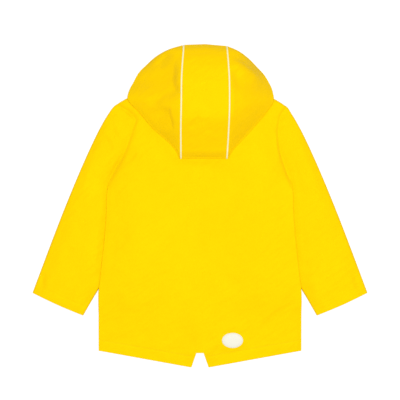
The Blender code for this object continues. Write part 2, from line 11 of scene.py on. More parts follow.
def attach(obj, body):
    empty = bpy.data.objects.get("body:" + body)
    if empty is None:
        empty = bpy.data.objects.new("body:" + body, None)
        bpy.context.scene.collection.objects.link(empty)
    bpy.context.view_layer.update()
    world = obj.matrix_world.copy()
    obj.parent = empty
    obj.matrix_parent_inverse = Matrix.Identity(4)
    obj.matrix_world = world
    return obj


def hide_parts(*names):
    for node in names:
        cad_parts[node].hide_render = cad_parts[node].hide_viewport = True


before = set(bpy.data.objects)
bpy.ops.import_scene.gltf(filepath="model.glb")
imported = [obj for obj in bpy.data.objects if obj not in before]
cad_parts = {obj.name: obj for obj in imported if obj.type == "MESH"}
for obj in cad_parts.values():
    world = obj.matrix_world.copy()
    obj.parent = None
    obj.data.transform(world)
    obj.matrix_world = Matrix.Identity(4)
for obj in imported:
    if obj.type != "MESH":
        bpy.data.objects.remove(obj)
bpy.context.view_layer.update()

print("frame loaded:", len(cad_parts), "solids")

# how the cloth lies
cloth = {
    "wall": 0.0014,
    "air": 0.0046,  # between the laid front and back, and inside a sleeve
    "tuckAir": 0.002,  # inside a sleeve where the body lies on it
    "seamAir": 0.0004,  # between back and front at the side seams
    "fold": 0.0013,  # radius of a side, shoulder or sleeve edge, seen from above
    "edgeGap": 0.0005,  # between back and front along their folded seams
    "lap": 0.005,  # the back's armhole edge lies this far over the sleeve
    "lapGap": 0.0002,
    "armholeGap": 0.0013,
    "shelfFlat": 0.01,  # a panel stays level this far past the sleeve's hidden edge
    "shelfSlope": 0.03,  # and then the fronts come down in this reach, and the back in the next
    "bridge": 0.125,
    "rampFrom": 0.15,  # from here down, over the next length, the hidden sleeve lifts the body
    "rampLength": 0.08,
    "settleSeam": 0.08,  # the back comes down to its side seams over this far
    "settleArmhole": 0.022,
    "sleeveRise": 0.03,  # a sleeve fills out over this far beside the body
    "seamGap": 0.0003,
    "hoodAir": 0.0004,
    "hemRows": 0.026,  # rows of the body's grids lie closer this far up from a hem
    "foldFade": 0.3,  # a soft fold fades over this share of its line at both ends
}
wall, half, air, seamAir = cloth["wall"], cloth["wall"] / 2, cloth["air"], cloth["seamAir"]
sleeveStack = 2 * wall + cloth["tuckAir"] + 2 * cloth["seamGap"]
lapRise = wall + cloth["lapGap"]

# the laid jacket's outlines: distance from the centre line, y
outline = {
    "sideEdge": (
        (0.1925, -0.2752), (0.1925, -0.21), (0.1924, -0.16), (0.19, -0.139), (0.1854, -0.0995),
        (0.1809, -0.054), (0.1778, -0.012), (0.1765, 0.025), (0.1745, 0.04),
    ),
    "armholeLeft": (
        (0.1745, 0.04), (0.1649, 0.0601), (0.1423, 0.1027), (0.1277, 0.1453), (0.1224, 0.1612),
        (0.158, 0.192),
    ),
    "armholeRight": (
        (0.1745, 0.04), (0.1663, 0.0601), (0.1543, 0.0947), (0.149, 0.1187), (0.1497, 0.15), (0.153, 0.1665),
        (0.164, 0.1865),
    ),
    "sleeveOuter": (
        (0.1619, 0.1893), (0.1752, 0.172), (0.1898, 0.147), (0.2085, 0.1089), (0.2273, 0.0668),
        (0.2463, 0.0214), (0.2653, -0.0259), (0.2843, -0.0755), (0.3033, -0.1261), (0.318, -0.1655),
    ),
    "sleeveInner": (
        (0.1695, 0.04), (0.16, 0.005), (0.1558, -0.04), (0.1565, -0.08), (0.1678, -0.122), (0.1919, -0.1576),
        (0.2216, -0.2081),
    ),
    "topEdge": (
        (0.0, 0.205), (0.02, 0.2062), (0.04, 0.21), (0.058, 0.217), (0.07, 0.225), (0.139, 0.2035),
        (0.1474, 0.1988), (0.1537, 0.195), (0.158, 0.192), (0.164, 0.1865),
    ),
    "frontNeck": ((0.0042, 0.15), (0.025, 0.1535), (0.048, 0.172), (0.063, 0.198), (0.07, 0.225)),
    "hoodFace": ((0.0042, 0.178), (0.016, 0.181), (0.029, 0.193), (0.04, 0.213), (0.048, 0.235)),
}
sideSign = {"Left": -1, "Right": 1}


# 0 to 1 in a smooth step
def ease(share):
    share = np.clip(share, 0, 1)
    return share * share * (3 - 2 * share)


# a bell curve: 1 in its middle, about a third at its width
def bell(away, width):
    return np.exp(-((away / width) ** 2))


# a table's rows joined by cubics; each row's slope comes from the rows beside it
def smooth(rows, steps=24):
    rows = np.array(rows, float)
    chord = travelled(rows)
    slope = np.gradient(rows, chord, axis=0)
    t = np.linspace(0, 1, steps, endpoint=False)[None, :, None]
    span = np.diff(chord)[:, None, None]
    line = (2 * t**3 - 3 * t**2 + 1) * rows[:-1, None] + (3 * t**2 - 2 * t**3) * rows[1:, None]
    line = line + (t**3 - 2 * t**2 + t) * span * slope[:-1, None] + (t**3 - t**2) * span * slope[1:, None]
    return np.concatenate([line.reshape(-1, rows.shape[1]), rows[-1:]])


# distance travelled at each point of a line
def travelled(line):
    return np.append(0, np.cumsum(np.linalg.norm(np.diff(line, axis=0), axis=1)))


# values that belong to a line's points, read at distances along it
def readAlong(distance, values, where):
    return np.stack([np.interp(where, distance, column) for column in values.T], axis=1)


# points of a line at distances along it
def walk(line, where):
    return readAlong(travelled(line), line, where)


# the same line at a count of even distances
def evenly(line, count):
    return walk(line, np.linspace(0, travelled(line)[-1], count))


# a plan line's distance out at each y, and a table's second column by its first
def outAt(line, y):
    return np.interp(y, line[:, 1], line[:, 0])


def readTable(rows, where):
    return np.interp(where, *np.array(rows).T)


# a quarter turn in even angles: share of the radius in from the edge, share of the turn done
quarterAngles = np.linspace(0, math.pi / 2, 8)
quarterIn = 1 - np.cos(quarterAngles)
quarterTurn = 1 - np.sin(quarterAngles)
turnSteps = len(quarterTurn)


# from stop to stop, each stretch in its own count of even steps
def spaced(stops, counts):
    runs = [np.linspace(a, b, n, endpoint=False) for a, b, n in zip(stops, stops[1:], counts)]
    return np.append(np.concatenate(runs), stops[-1])


# distances along an edge: close near a hem, then even, then a quarter turn's steps at the far end
def edgeSteps(total, counts):
    even = spaced((0, cloth["hemRows"], total - cloth["fold"]), counts)
    return np.concatenate([even, total - cloth["fold"] * quarterIn[-2::-1]])


# four-sided patch: the two straight blends between opposite edges, less the blend of the corners
def patch(left, right, bottom, top):
    def shares(one, other):
        one, other = travelled(one), travelled(other)
        return (one / one[-1] + other / other[-1]) / 2

    v = shares(left, right)[:, None, None]
    u = shares(bottom, top)[None, :, None]
    across = (1 - u) * left[:, None] + u * right[:, None]
    upward = (1 - v) * bottom[None] + v * top[None]
    corners = (1 - u) * (1 - v) * bottom[0] + u * (1 - v) * bottom[-1]
    return across + upward - corners - (1 - u) * v * top[0] - u * v * top[-1]


# a grid of points at shares of the straight way from one line to another
def between(one, other, shares):
    return one[:, None] + shares[None, :, None] * (other - one)[:, None]


# distance from plan points to a line, positive on its left, and the share of the line at the foot
def nearLine(x, y, line):
    best, side, foot = np.full(x.shape, 9.0), np.ones(x.shape), np.zeros(x.shape)
    distance = travelled(line)
    spans = zip(line, np.diff(line, axis=0), distance, np.diff(distance))
    for (startX, startY), (dx, dy), gone, span in spans:
        t = np.clip(((x - startX) * dx + (y - startY) * dy) / span**2, 0, 1)
        away = np.hypot(x - startX - t * dx, y - startY - t * dy)
        closer = away < best
        best = np.where(closer, away, best)
        side = np.where(closer, np.sign(dx * (y - startY) - dy * (x - startX)), side)
        foot = np.where(closer, (gone + t * span) / distance[-1], foot)
    return best * side, foot


# soft folds, given one by one: each a bell across its line, one width to each side, faded at both ends
def layFolds(x, y, folds):
    total, fade = np.zeros(x.shape), cloth["foldFade"]
    for height, widthLeft, widthRight, *points in folds:
        line = smooth(points, 10) if len(points) > 2 else np.array(points, float)
        away, foot = nearLine(x, y, line)
        width = np.where(away > 0, widthLeft, widthRight)
        total += height * bell(away, width) * ease(foot / fade) * ease((1 - foot) / fade)
    return total


# low waves: a sum of slanted sines, each with a height, x and y pitch and start
def layWaves(x, y, waves):
    return sum(h * np.sin(2 * math.pi * (x / px + y / py + start)) for h, px, py, start in waves)


def unit(arrows):
    return arrows / np.maximum(np.linalg.norm(arrows, axis=-1, keepdims=True), 1e-12)


# unit normals of a grid of points, across a row times up a column
def gridNormals(grid):
    return unit(np.cross(np.gradient(grid, axis=1), np.gradient(grid, axis=0)))


def addObject(name, data):
    made = bpy.data.objects.new(name, data)
    bpy.context.scene.collection.objects.link(made)
    return made


# a mesh of points and four-cornered faces, with a thread map in metres for the weave
def putMesh(name, points, quads, thread, finish):
    mesh = bpy.data.meshes.new(name)
    mesh.from_pydata(points.tolist(), [], quads.tolist())
    mesh.validate()
    mesh.uv_layers.new(name="thread").data.foreach_set("uv", thread[quads].ravel())
    mesh.shade_smooth()
    mesh.materials.append(finish)
    return addObject(name, mesh)


# faces of a grid, row by row; a closed grid joins its last column to its first
def gridFaces(rows, cols, closed=False):
    r, c = np.meshgrid(np.arange(rows - 1), np.arange(cols if closed else cols - 1), indexing="ij")
    d = (c + 1) % cols
    faces = np.stack([r * cols + c, r * cols + d, (r + 1) * cols + d, (r + 1) * cols + c], axis=-1)
    return faces.reshape(-1, 4)


# faces of a stack of closed rings; strips of four-cornered faces close its two ends
def stackFaces(rows, n):
    k = np.arange(1, n // 2)
    cap = np.stack([k - 1, k, n - 1 - k, (n - k) % n], axis=1)
    return np.concatenate([gridFaces(rows, n, closed=True), cap[:, ::-1], cap + (rows - 1) * n])


# the same small shell set down many times; each row holds one copy's points
def putCopies(name, copies, faces, finish):
    each = copies[0].size // 3
    quads = (faces[None] + (np.arange(len(copies)) * each)[:, None, None]).reshape(-1, 4)
    flat = copies.reshape(-1, 3)
    return putMesh(name, flat, quads, flat[:, :2], finish)


# points once round a circle of radius 1; above 2 the circle gets squarer
def roundly(count, square=2):
    angle = np.linspace(0, 2 * math.pi, count, endpoint=False)
    corner = (np.abs(np.cos(angle)) ** square + np.abs(np.sin(angle)) ** square) ** (1 / square)
    return np.column_stack([np.cos(angle), np.sin(angle)]) / corner[:, None]


# a wall of cloth: two faces, half the wall off a grid of middle points along its normals, and three
# rings that round its edge; where it is pressed, its outer face is lowered to the share left
def clothWall(name, mid, thread=None, pressed=1.0, thick=wall, finish=None):
    rows, cols = mid.shape[:2]
    count = rows * cols
    normal = gridNormals(mid)
    left = np.broadcast_to(pressed, (rows, cols))[..., None]
    if thread is None:
        thread = np.zeros((rows, cols, 2))
        thread[:, 1:, 0] = np.cumsum(np.linalg.norm(np.diff(mid, axis=1), axis=2), axis=1)
        thread[1:, :, 1] = np.cumsum(np.linalg.norm(np.diff(mid, axis=0), axis=2), axis=0)
    index = np.arange(count).reshape(rows, cols)
    rim = np.concatenate([index[0, :-1], index[:-1, -1], index[-1, :0:-1], index[:0:-1, 0]])
    outer = (mid + normal * thick * (left - 0.5)).reshape(-1, 3)
    inner = (mid - normal * thick / 2).reshape(-1, 3)
    around = (outer + inner)[rim] / 2
    along = np.roll(around, -1, axis=0) - np.roll(around, 1, axis=0)
    rimNormal = normal.reshape(-1, 3)[rim]
    deep = thick / 2 * left.reshape(-1, 1)[rim]
    out = unit(np.cross(along, rimNormal))
    rings = [
        around + deep * (rimNormal * math.cos(angle) + 0.6 * out * math.sin(angle))
        for angle in np.radians((45, 90, 135))
    ]
    bands = [rim, *[2 * count + k * len(rim) + np.arange(len(rim)) for k in range(3)], rim + count]
    edge = [np.stack([a, b, np.roll(b, -1), np.roll(a, -1)], axis=1) for a, b in zip(bands, bands[1:])]
    faces = gridFaces(rows, cols)
    quads = np.concatenate([faces, faces[:, ::-1] + count, *edge])
    flat = thread.reshape(-1, 2)
    threads = np.concatenate([flat, flat, *[flat[rim]] * 3])
    made = putMesh(name, np.concatenate([outer, inner, *rings]), quads, threads, finish or yellowCloth)
    return made, outer.reshape(mid.shape), normal


# a round tube along a line: rings in the planes square to it, drawn in at both ends
def roundTube(name, line, radius, sides, finish):
    way = unit(np.gradient(line, axis=0))
    aside = unit(np.cross(way, (1.0, 0.02, 0.03)))
    up = np.cross(way, aside)
    swell = np.full(len(line), radius)
    swell[[0, -1]] *= 0.35
    swell[[1, -2]] *= 0.85
    circle = roundly(sides)
    ring = circle[None, :, :1] * aside[:, None] + circle[None, :, 1:] * up[:, None]
    points = (line[:, None] + ring * swell[:, None, None]).reshape(-1, 3)
    girth = np.tile(np.arange(sides) * 2 * math.pi / sides * radius, len(line))
    thread = np.stack([girth, np.repeat(travelled(line), sides)], axis=1)
    return putMesh(name, points, stackFaces(len(line), sides)[:, ::-1], thread, finish)


# a row of sewn stitches on a line: each is a short bead, thick in its middle, whose ends sink in
stitch = {"length": 0.0027, "pitch": 0.0035, "radius": 0.0003, "rise": 0.00012, "sink": 0.00035}


def sewStitches(name, runs, finish=None):
    rings, circle = np.linspace(0, 1, 6), roundly(6)
    arch = np.sin(math.pi * rings)[None, :, None]
    thick = stitch["radius"] * (0.35 + 0.65 * np.sqrt(arch[..., None]))
    copies = []
    for line, normal in runs:
        distance = travelled(line)
        count = int(distance[-1] / stitch["pitch"])
        start = (np.arange(count) + 0.5) * distance[-1] / count
        where = (start[:, None] + (rings - 0.5) * stitch["length"]).ravel()
        centre, up = [readAlong(distance, v, where).reshape(count, -1, 3) for v in (line, normal)]
        up = unit(up)
        aside = np.cross(unit(np.gradient(centre, axis=1)), up)
        centre = centre + up * (stitch["rise"] * arch - stitch["sink"] * (1 - arch))
        ring = circle[:, :1] * aside[:, :, None] + circle[:, 1:] * up[:, :, None]
        copies.append((centre[:, :, None] + thick * ring).reshape(count, -1))
    faces = stackFaces(len(rings), len(circle))[:, ::-1]
    return putCopies(name, np.concatenate(copies), faces, finish or yellowThread)


# a flat plate: its outline, drawn in step by step under and over, so that its edge is round
def roundedPlate(name, shape, low, high, edge, dome=0.0, finish=None):
    centre = shape.mean(axis=0)
    inset = edge / np.linalg.norm(shape - centre, axis=1).mean()
    levels = ((0.02, low), (0.6, low), (1 - inset, low), (1 - 0.3 * inset, low + 0.3 * edge))
    levels += ((1, (low + high) / 2), (1 - 0.3 * inset, high - 0.3 * edge), (1 - inset, high))
    levels += ((0.6, high + 0.75 * dome), (0.3, high + 0.95 * dome), (0.02, high + dome))
    rings = [np.column_stack([centre + s * (shape - centre), np.full(len(shape), z)]) for s, z in levels]
    points = np.concatenate(rings)
    faces = stackFaces(len(levels), len(shape))
    return putMesh(name, points, faces, points[:, :2], finish or sliderLacquer)


# a node's output; sums and products of these add Math nodes to their material
class Wire:
    def __init__(self, finish, socket):
        self.finish = finish
        self.socket = socket

    def maths(self, operation, other=0.0):
        return self.finish.add("ShaderNodeMath", {"operation": operation}, {0: self, 1: other})

    def __add__(self, other):
        return self.maths("ADD", other)

    def __sub__(self, other):
        return self.maths("SUBTRACT", other)

    def __mul__(self, other):
        return self.maths("MULTIPLY", other)

    def sine(self):
        return self.maths("SINE")

    def size(self):
        return self.maths("ABSOLUTE")


# a material whose named sockets are set, and which runs between two shades by a wire
class Finish:
    def __init__(self, name, colour, roughness, fixed=None):
        self.material = bpy.data.materials.new(name)
        self.material.use_nodes = True
        self.tree = self.material.node_tree
        self.surface = self.tree.nodes["Principled BSDF"]
        values = {"Base Color": (*colour, 1), "Roughness": roughness, **(fixed or {})}
        for socket, value in values.items():
            self.surface.inputs[socket].default_value = value

    # one node: its settings, the values or wires of its sockets, and the output that is used
    def add(self, kind, settings=None, sockets=None, output=0):
        node = self.tree.nodes.new(kind)
        for key, value in (settings or {}).items():
            setattr(node, key, value)
        for key, value in (sockets or {}).items():
            if isinstance(value, Wire):
                self.tree.links.new(value.socket, node.inputs[key])
            else:
                node.inputs[key].default_value = value
        return Wire(self, node.outputs[output])

    def drive(self, socket, wire):
        self.tree.links.new(wire.socket, self.surface.inputs[socket])

    def place(self):
        return self.add("ShaderNodeTexCoord", output="Object")

    # the piece's own thread map, across and along the cloth, in metres
    def threads(self):
        own = self.add("ShaderNodeUVMap", {"uv_map": "thread"})
        apart = self.add("ShaderNodeSeparateXYZ", sockets={0: own})
        return apart, Wire(self, apart.socket.node.outputs[1])

    # soft cloudy noise whose blobs are about one size across, in metres
    def clouds(self, across, detail=2.0, place=None):
        values = {"Vector": place or self.place(), "Scale": 1 / across, "Detail": detail}
        return self.add("ShaderNodeTexNoise", sockets=values)

    # the same, drawn out along a slant
    def streaks(self, across, longer, slant):
        turned = {"Vector": self.place(), "Rotation": (0, 0, slant), "Scale": (longer, 1, 1)}
        return self.clouds(across, 1.0, self.add("ShaderNodeMapping", {"vector_type": "TEXTURE"}, turned))

    # the colour, from light where the wire is 0 to dark where it is 1
    def shade(self, wire, light, dark):
        values = {0: wire, 6: (*light, 1), 7: (*dark, 1)}
        self.drive("Base Color", self.add("ShaderNodeMix", {"data_type": "RGBA"}, values, output=2))

    def bump(self, height, distance):
        self.drive("Normal", self.add("ShaderNodeBump", {}, {"Height": height, "Distance": distance}))


softshell = {
    "colour": (0.94, 0.596, 0.0008),
    "deep": (0.93, 0.565, 0.0006),
    "yarnPitch": 0.00062,
    "yarnDepth": 0.00005,
    "grainSize": 0.0011,
    "mottleSize": 0.022,
    "patchSize": 0.075,
    "crumpleSize": 0.01,  # very low crumples, as if just unfolded
    "crumpleDepth": 0.0009,
    "tint": (1.0, 0.74, 0.003, 1),
}


# smooth bonded face: fine crossed yarns, a dry grain over them and a faint cloudy mottle
def softshellFinish():
    sheen = {"IOR": 1.6, "Specular IOR Level": 0.9, "Specular Tint": softshell["tint"]}
    made = Finish("softshellYellow", softshell["colour"], 0.56, sheen)
    across, along = made.threads()
    turn = 2 * math.pi / softshell["yarnPitch"]
    yarns = (across * turn).sine() * (along * turn).sine()
    grain = made.clouds(softshell["grainSize"], 3.0)
    mottle = made.clouds(softshell["mottleSize"], 3.0) * 0.6 + made.clouds(softshell["patchSize"], 1.0) * 0.4
    made.shade(mottle * 1.6 - 0.55, softshell["colour"], softshell["deep"])
    made.drive("Roughness", mottle * 0.08 + 0.46)
    crumple = made.streaks(softshell["crumpleSize"], 2.6, 0.65)
    depth = softshell["yarnDepth"]
    made.bump(yarns * 0.5 + grain * 0.8 + crumple * (softshell["crumpleDepth"] / depth), depth)
    return made.material


# the trims: two shades, the grain's size, roughness and what the grain adds to it
trims = {
    "reflectiveWhite": ((0.84, 0.82, 0.68), (0.77, 0.75, 0.62), 0.0006, 0.36, 0.2),
    "reflectiveCream": ((0.93, 0.88, 0.5), (0.87, 0.82, 0.46), 0.0006, 0.36, 0.2),
    "sewingThread": ((0.93, 0.66, 0.004), (0.8, 0.5, 0.001), 0.0008, 0.6, 0.0),
    "zipTapeYellow": ((0.9, 0.62, 0.004), (0.78, 0.51, 0.002), 0.006, 0.8, 0.0),
    "zipToothYellow": ((0.92, 0.64, 0.004), (0.82, 0.53, 0.002), 0.003, 0.28, 0.14),
    "zipLacquer": ((0.88, 0.62, 0.02), (0.8, 0.54, 0.015), 0.0009, 0.24, 0.16),
}


def trimFinish(name, fixed=None, detail=2.0, relief=None):
    light, dark, across, roughness, more = trims[name]
    made = Finish(name, light, roughness, fixed)
    grain = made.clouds(across, detail)
    if name == "sewingThread":  # its ply shows as fine twisted lines
        grain = ((grain - 0.5) * 2).size()
    made.shade(grain, light, dark)
    if more:
        made.drive("Roughness", grain * more + roughness)
    if relief:
        made.bump(*relief(made, grain))
    return made.material


# glass-bead grain over a fine twill
def beadRelief(made, grain):
    across, along = made.threads()
    return grain + ((across + along) * (2 * math.pi / 0.0011)).sine() * 0.25, 0.00004


# herringbone ribs along a narrow tape
def ribRelief(made, grain):
    across, along = made.threads()
    ribs = (across * (2 * math.pi / 0.0009)).sine() + ((across + along) * (2 * math.pi / 0.0007)).sine()
    return ribs * 0.5, 0.00008


matt = {"Specular IOR Level": 0.15}
yellowCloth = softshellFinish()
whiteCloth = trimFinish("reflectiveWhite", {"Specular IOR Level": 0.4}, relief=beadRelief)
creamCloth = trimFinish("reflectiveCream", {"Specular IOR Level": 0.4}, relief=beadRelief)
yellowThread = trimFinish("sewingThread", matt, relief=lambda made, ply: (ply, 0.00003))
tapeCloth = trimFinish("zipTapeYellow", matt, relief=ribRelief)
toothPlastic = trimFinish("zipToothYellow")
lacquer = {"Coat Weight": 0.4, "Coat Roughness": 0.15}
sliderLacquer = trimFinish("zipLacquer", lacquer, 1.0, lambda made, peel: (peel, 0.00002))
print("finishes made")

# how far out the sleeve's hidden inner edge, and above it its mouth, lies at each y
reachLines = []
for side in ("Right", "Left"):
    mouth = np.array((*smooth(outline["armhole" + side][:-1]), outline["armhole" + side][-1]))
    reachLines.append(np.concatenate([smooth(outline["sleeveInner"])[::-1], mouth[1:] - (cloth["lap"], 0)]))


# 1 over the tucked sleeve, easing to 0 towards the middle of the body
def overSleeve(x, y, slope):
    reach = np.where(x > 0, *[outAt(line, y) for line in reachLines])
    return 1 - ease((reach - np.abs(x) - cloth["shelfFlat"]) / slope)


# 0 at the shoulder, 1 from the underarm down
def armRamp(y):
    return ease((cloth["rampFrom"] - y) / cloth["rampLength"])


# the fronts' middle surface: on the table, and lifted by the hidden sleeves
def frontMid(x, y):
    return half + sleeveStack * armRamp(y) * overSleeve(x, y, cloth["shelfSlope"])


# air inside a sleeve, by the distance out from the body's edge
def sleeveAir(y, outward):
    return air - (air - cloth["tuckAir"]) * armRamp(y) * (1 - ease(outward / cloth["sleeveRise"]))


# side seam and armhole of one side, from the hem up
def bodyOutline(side, steps):
    return np.concatenate([smooth(outline["sideEdge"], steps), smooth(outline["armhole" + side], steps)[1:]])


# how far in from the body's edge a point lies, along x, and 1 where that edge is an armhole
def inFromEdge(x, y):
    edges = [outAt(bodyOutline(side, 6), y) for side in ("Right", "Left")]
    return np.where(x > 0, *edges) - np.abs(x), ease((y - 0.03) / 0.03)


# the back's middle surface, which settles along its side seams and armholes, sinks onto the fronts
# towards their hem, and past it comes down to the table
def backMid(x, y):
    inward, armhole = inFromEdge(x, y)
    rise = lapRise + (sleeveStack - lapRise) * armRamp(y)
    seam = half + sleeveStack + wall + seamAir
    sewn = 2 * wall + sleeveAir(y, 0) + cloth["lapGap"] + half
    nearSeam = 1 - ease(inward / cloth["settleSeam"])
    nearSewn = np.exp(-np.maximum(inward, 0) / cloth["settleArmhole"])
    settle = half + wall + air + rise - (seam + (sewn - seam) * armhole)
    settle *= nearSeam + (nearSewn - nearSeam) * armhole
    level = half + wall + air + rise * overSleeve(x, y, cloth["bridge"]) - settle
    low = frontMid(x, y)
    overZip = zipper["room"] * bell(x, zipper["roomWidth"]) * ease((y - body["zipFrom"]) / body["zipFade"])
    room = np.maximum(level - low - wall - seamAir - overZip, 0)
    level = level - room * ease((body["sinkFrom"] - y) / (body["sinkFrom"] - body["frontHem"]))
    drop = body["drop"] * (wall + seamAir) * ease((body["dropFrom"] - y) / body["dropLength"])
    return level - drop * (level - half) / np.maximum(level - low + drop, 1e-6)


# half the height between back and fronts, which meet there at a folded edge
def halfApart(x, y):
    return (backMid(x, y) - frontMid(x, y) - cloth["edgeGap"]) / 2


# y of the neck and shoulders, by the distance out
def topEdge(out):
    return readTable(outline["topEdge"], out)


# the hood's under layer: on the back, and past the shoulder down on the table
def tuckMid(x, y):
    shoulder = readTable(outline["topEdge"][4:6], np.abs(x))
    return half + (backMid(x, y) + half + cloth["hoodAir"]) * (1 - ease((y - shoulder) / hood["tuckFall"]))


# the closed zip between the fronts
zipper = {
    "bottom": -0.269,
    "top": 0.149,
    "room": 0.0024,  # the back passes this much higher over it
    "roomWidth": 0.026,
    "tapeInner": 0.004,
    "tapeWidth": 0.013,
    "tapeThick": 0.0006,
    "tapeGrid": (12, 180),
    "ripple": (0.00008, 0.047),  # of the tapes: height and pitch
    "middle": 0.0026,  # height of the teeth's middle
    "chainTop": 0.1382,
    "chainHalf": 0.0039,
    "toothPitch": 0.0027,
    "toothEnd": 0.0008,  # the teeth begin and end this far from stop and slider
    "stopLength": 0.004,
    "thick": 0.0018,
    "sliderY": 0.1435,
    "slider": (0.0076, 0.0098),
    "sliderLow": 0.0018,
    "sliderHigh": 0.005,
    "hinge": (0.143, 0.0009),
    "pull": (0.0046, 0.0308, 0.001),
    "pullHead": 0.0005,
    "waist": (0.3, 0.74, 0.14),  # of the pull: depth, place and width, as shares of it
    "ribs": (5, 0.0022),  # of its grip: count and pitch
    "rib": (0.36, 0.00035),  # half length as a share of the pull's width, half width
    "plate": 0.0008,  # thickness of the slider's plates and rails
    "narrow": 0.2,  # share by which they narrow towards the closed teeth
    "post": (0.0011, 0.0016),
    "rail": (0.0005, 0.62),  # half width, length as a share of the slider's
    "ear": (0.001, 0.0009),
    "earSpan": (0.0026, 0.0034),  # out from the middle
    "rivet": (0.0004, 0.0004),
    "rivetSpan": (0.0033, 0.0036),
}

body = {
    "frontHem": -0.272,
    "frontEdge": 0.0042,
    "hem": ((0.0166, -0.3071), (0.1925, -0.2752)),  # tip of the fishtail, side
    "slit": ((0.0071, -0.2796), (0.0166, -0.3071)),
    "sinkFrom": -0.15,
    "drop": 0.7,  # share of the front's wall that the back sinks by past the front's hem
    "dropFrom": -0.262,
    "dropLength": 0.05,
    "zipFrom": -0.3,  # the room over the zip begins here and grows over the next length
    "zipFade": 0.022,
    "backRows": (24, 111),  # near the hem, and above it
    "backColumns": (75, 7, 5),  # side seam to the fishtail's tip, to the slit, to the middle
    "frontRows": (16, 89),
    "frontColumns": 64,
    "seamTurn": (0.04, 0.02),  # a folded side seam ends at this y, over this length
    "shoulderTurn": (0.066, 0.17),  # the folded shoulder, from the neck out to the sleeve
    "slitFade": 0.17,  # share of the height over which the rows straighten above the slit
    "hemDepth": 0.02,
    "hemRaise": 0.00012,
    "grooveDepth": 0.0002,
    "grooveWidth": 0.0016,
    "seamDepth": (0.0009, 0.0004),  # soft furrow along the left and the right armhole seam
    "seamWidth": 0.0055,
    "besideSleeve": 0.9,  # share of that depth between the body and a sleeve
    "besideEnd": (-0.16, 0.06),  # the two part below this y, and touch in full this far above it
    "seamLeft": (0.28, 0.08),  # share of the wall left at the pressed left and right edge
    "seamPress": 0.005,
}

# soft folds of the back: height, width to the left and right of the line, then its points
backFolds = (
    (
        0.0022, 0.012, 0.013, (-0.148, 0.213), (-0.112, 0.18), (-0.086, 0.15), (-0.062, 0.124),
        (-0.04, 0.096), (-0.025, 0.0895), (0.01, 0.089), (0.04, 0.0895), (0.056, 0.096), (0.076, 0.122),
        (0.097, 0.146), (0.1175, 0.17), (0.148, 0.205),
    ),
    (-0.0006, 0.007, 0.012, (-0.07, -0.268), (-0.046, -0.275), (-0.022, -0.27)),
    (-0.001, 0.007, 0.01, (0.022, -0.272), (0.046, -0.279), (0.075, -0.278), (0.098, -0.262)),
    (0.0006, 0.01, 0.009, (0.03, -0.24), (0.065, -0.234), (0.105, -0.242)),
    (-0.0007, 0.008, 0.012, (0.112, -0.236), (0.136, -0.218), (0.158, -0.196)),
    (0.0007, 0.006, 0.008, (0.1, 0.146), (0.118, 0.134), (0.136, 0.12)),
    (0.0008, 0.005, 0.005, (0.113, 0.162), (0.132, 0.148), (0.144, 0.131), (0.148, 0.1), (0.15, 0.085)),
    (-0.0006, 0.006, 0.009, (-0.12, 0.112), (-0.13, 0.09), (-0.138, 0.07)),
    (-0.0007, 0.012, 0.01, (-0.06, 0.086), (-0.01, 0.078), (0.045, 0.084)),
    (0.0009, 0.006, 0.004, (-0.034, 0.0905), (-0.02, 0.0893), (0.035, 0.0893), (0.052, 0.0905)),
)
# and the troughs at the shoulders, which run on over the sleeves
shoulderFolds = {
    "Left": (-0.0012, 0.013, 0.013, (-0.172, 0.199), (-0.156, 0.184), (-0.14, 0.17), (-0.126, 0.16)),
    "Right": (-0.0011, 0.006, 0.007, (0.17, 0.185), (0.156, 0.17), (0.147, 0.1635), (0.133, 0.162)),
}
backFolds += tuple(shoulderFolds.values())
backWaves = (
    (0.0001, 0.13, 0.21, 0.1),
    (0.00009, -0.085, 0.12, 0.4),
    (0.00007, 0.06, -0.09, 0.75),
    (0.00004, 0.041, 0.052, 0.2),
)
frontFolds = (
    (0.0009, 0.012, 0.016, (0.04, 0.06), (0.09, 0.02), (0.125, -0.04)),
    (0.0007, 0.01, 0.014, (0.03, -0.12), (0.08, -0.15), (0.12, -0.2)),
    (0.0008, 0.008, 0.01, (0.06, 0.15), (0.085, 0.11), (0.12, 0.085)),
)


# an armhole from the underarm up, drawn in by an inset, and its end on the shoulder
def armholeLine(side, inset):
    lower = smooth(outline["armhole" + side][:-1]) - (inset, 0)
    end = outline["armhole" + side][-1][0] - inset
    return lower, (end, topEdge(end) - half)


# side seam and armhole of one side from the hem to the shoulder, at the given counts of steps
def bodyEdge(side, startY, rows, inset=0.0):
    seam = smooth(outline["sideEdge"]) - (half, 0)
    above = seam[seam[:, 1] > startY + 1e-6][:-1]
    lower, end = armholeLine(side, inset)
    edge = np.concatenate([[(outAt(seam, startY), startY)], above, lower, [end]])
    return walk(edge, edgeSteps(travelled(edge)[-1], rows))


# the shoulder edge between two ends, and how far out each column meets it
def shoulderEdge(start, end, share):
    out = start[0] + share * (end[0] - start[0])
    top = np.stack([out, topEdge(np.abs(out)) - half], axis=1)
    top[[0, -1]] = start, end
    return top, out


# turn of the folded edges: side seams below the underarm, and the shoulders beside the neck
def edgeTurn(plan, topX, leftSide, rightSide):
    turn = np.zeros(plan.shape[:2])
    end, over = body["seamTurn"]
    seam = ease((end - plan[..., 1]) / over)
    if leftSide:
        turn[:, :turnSteps] = quarterTurn * seam[:, :turnSteps]
    if rightSide:
        turn[:, -turnSteps:] = quarterTurn[::-1] * seam[:, -turnSteps:]
    out = np.abs(topX)
    start, end = body["shoulderTurn"]
    shoulder = ease((out - start) / 0.01) * ease((end - out) / 0.012)
    turn[-turnSteps:] = 1 - (1 - turn[-turnSteps:]) * (1 - shoulder * quarterTurn[::-1, None])
    return turn


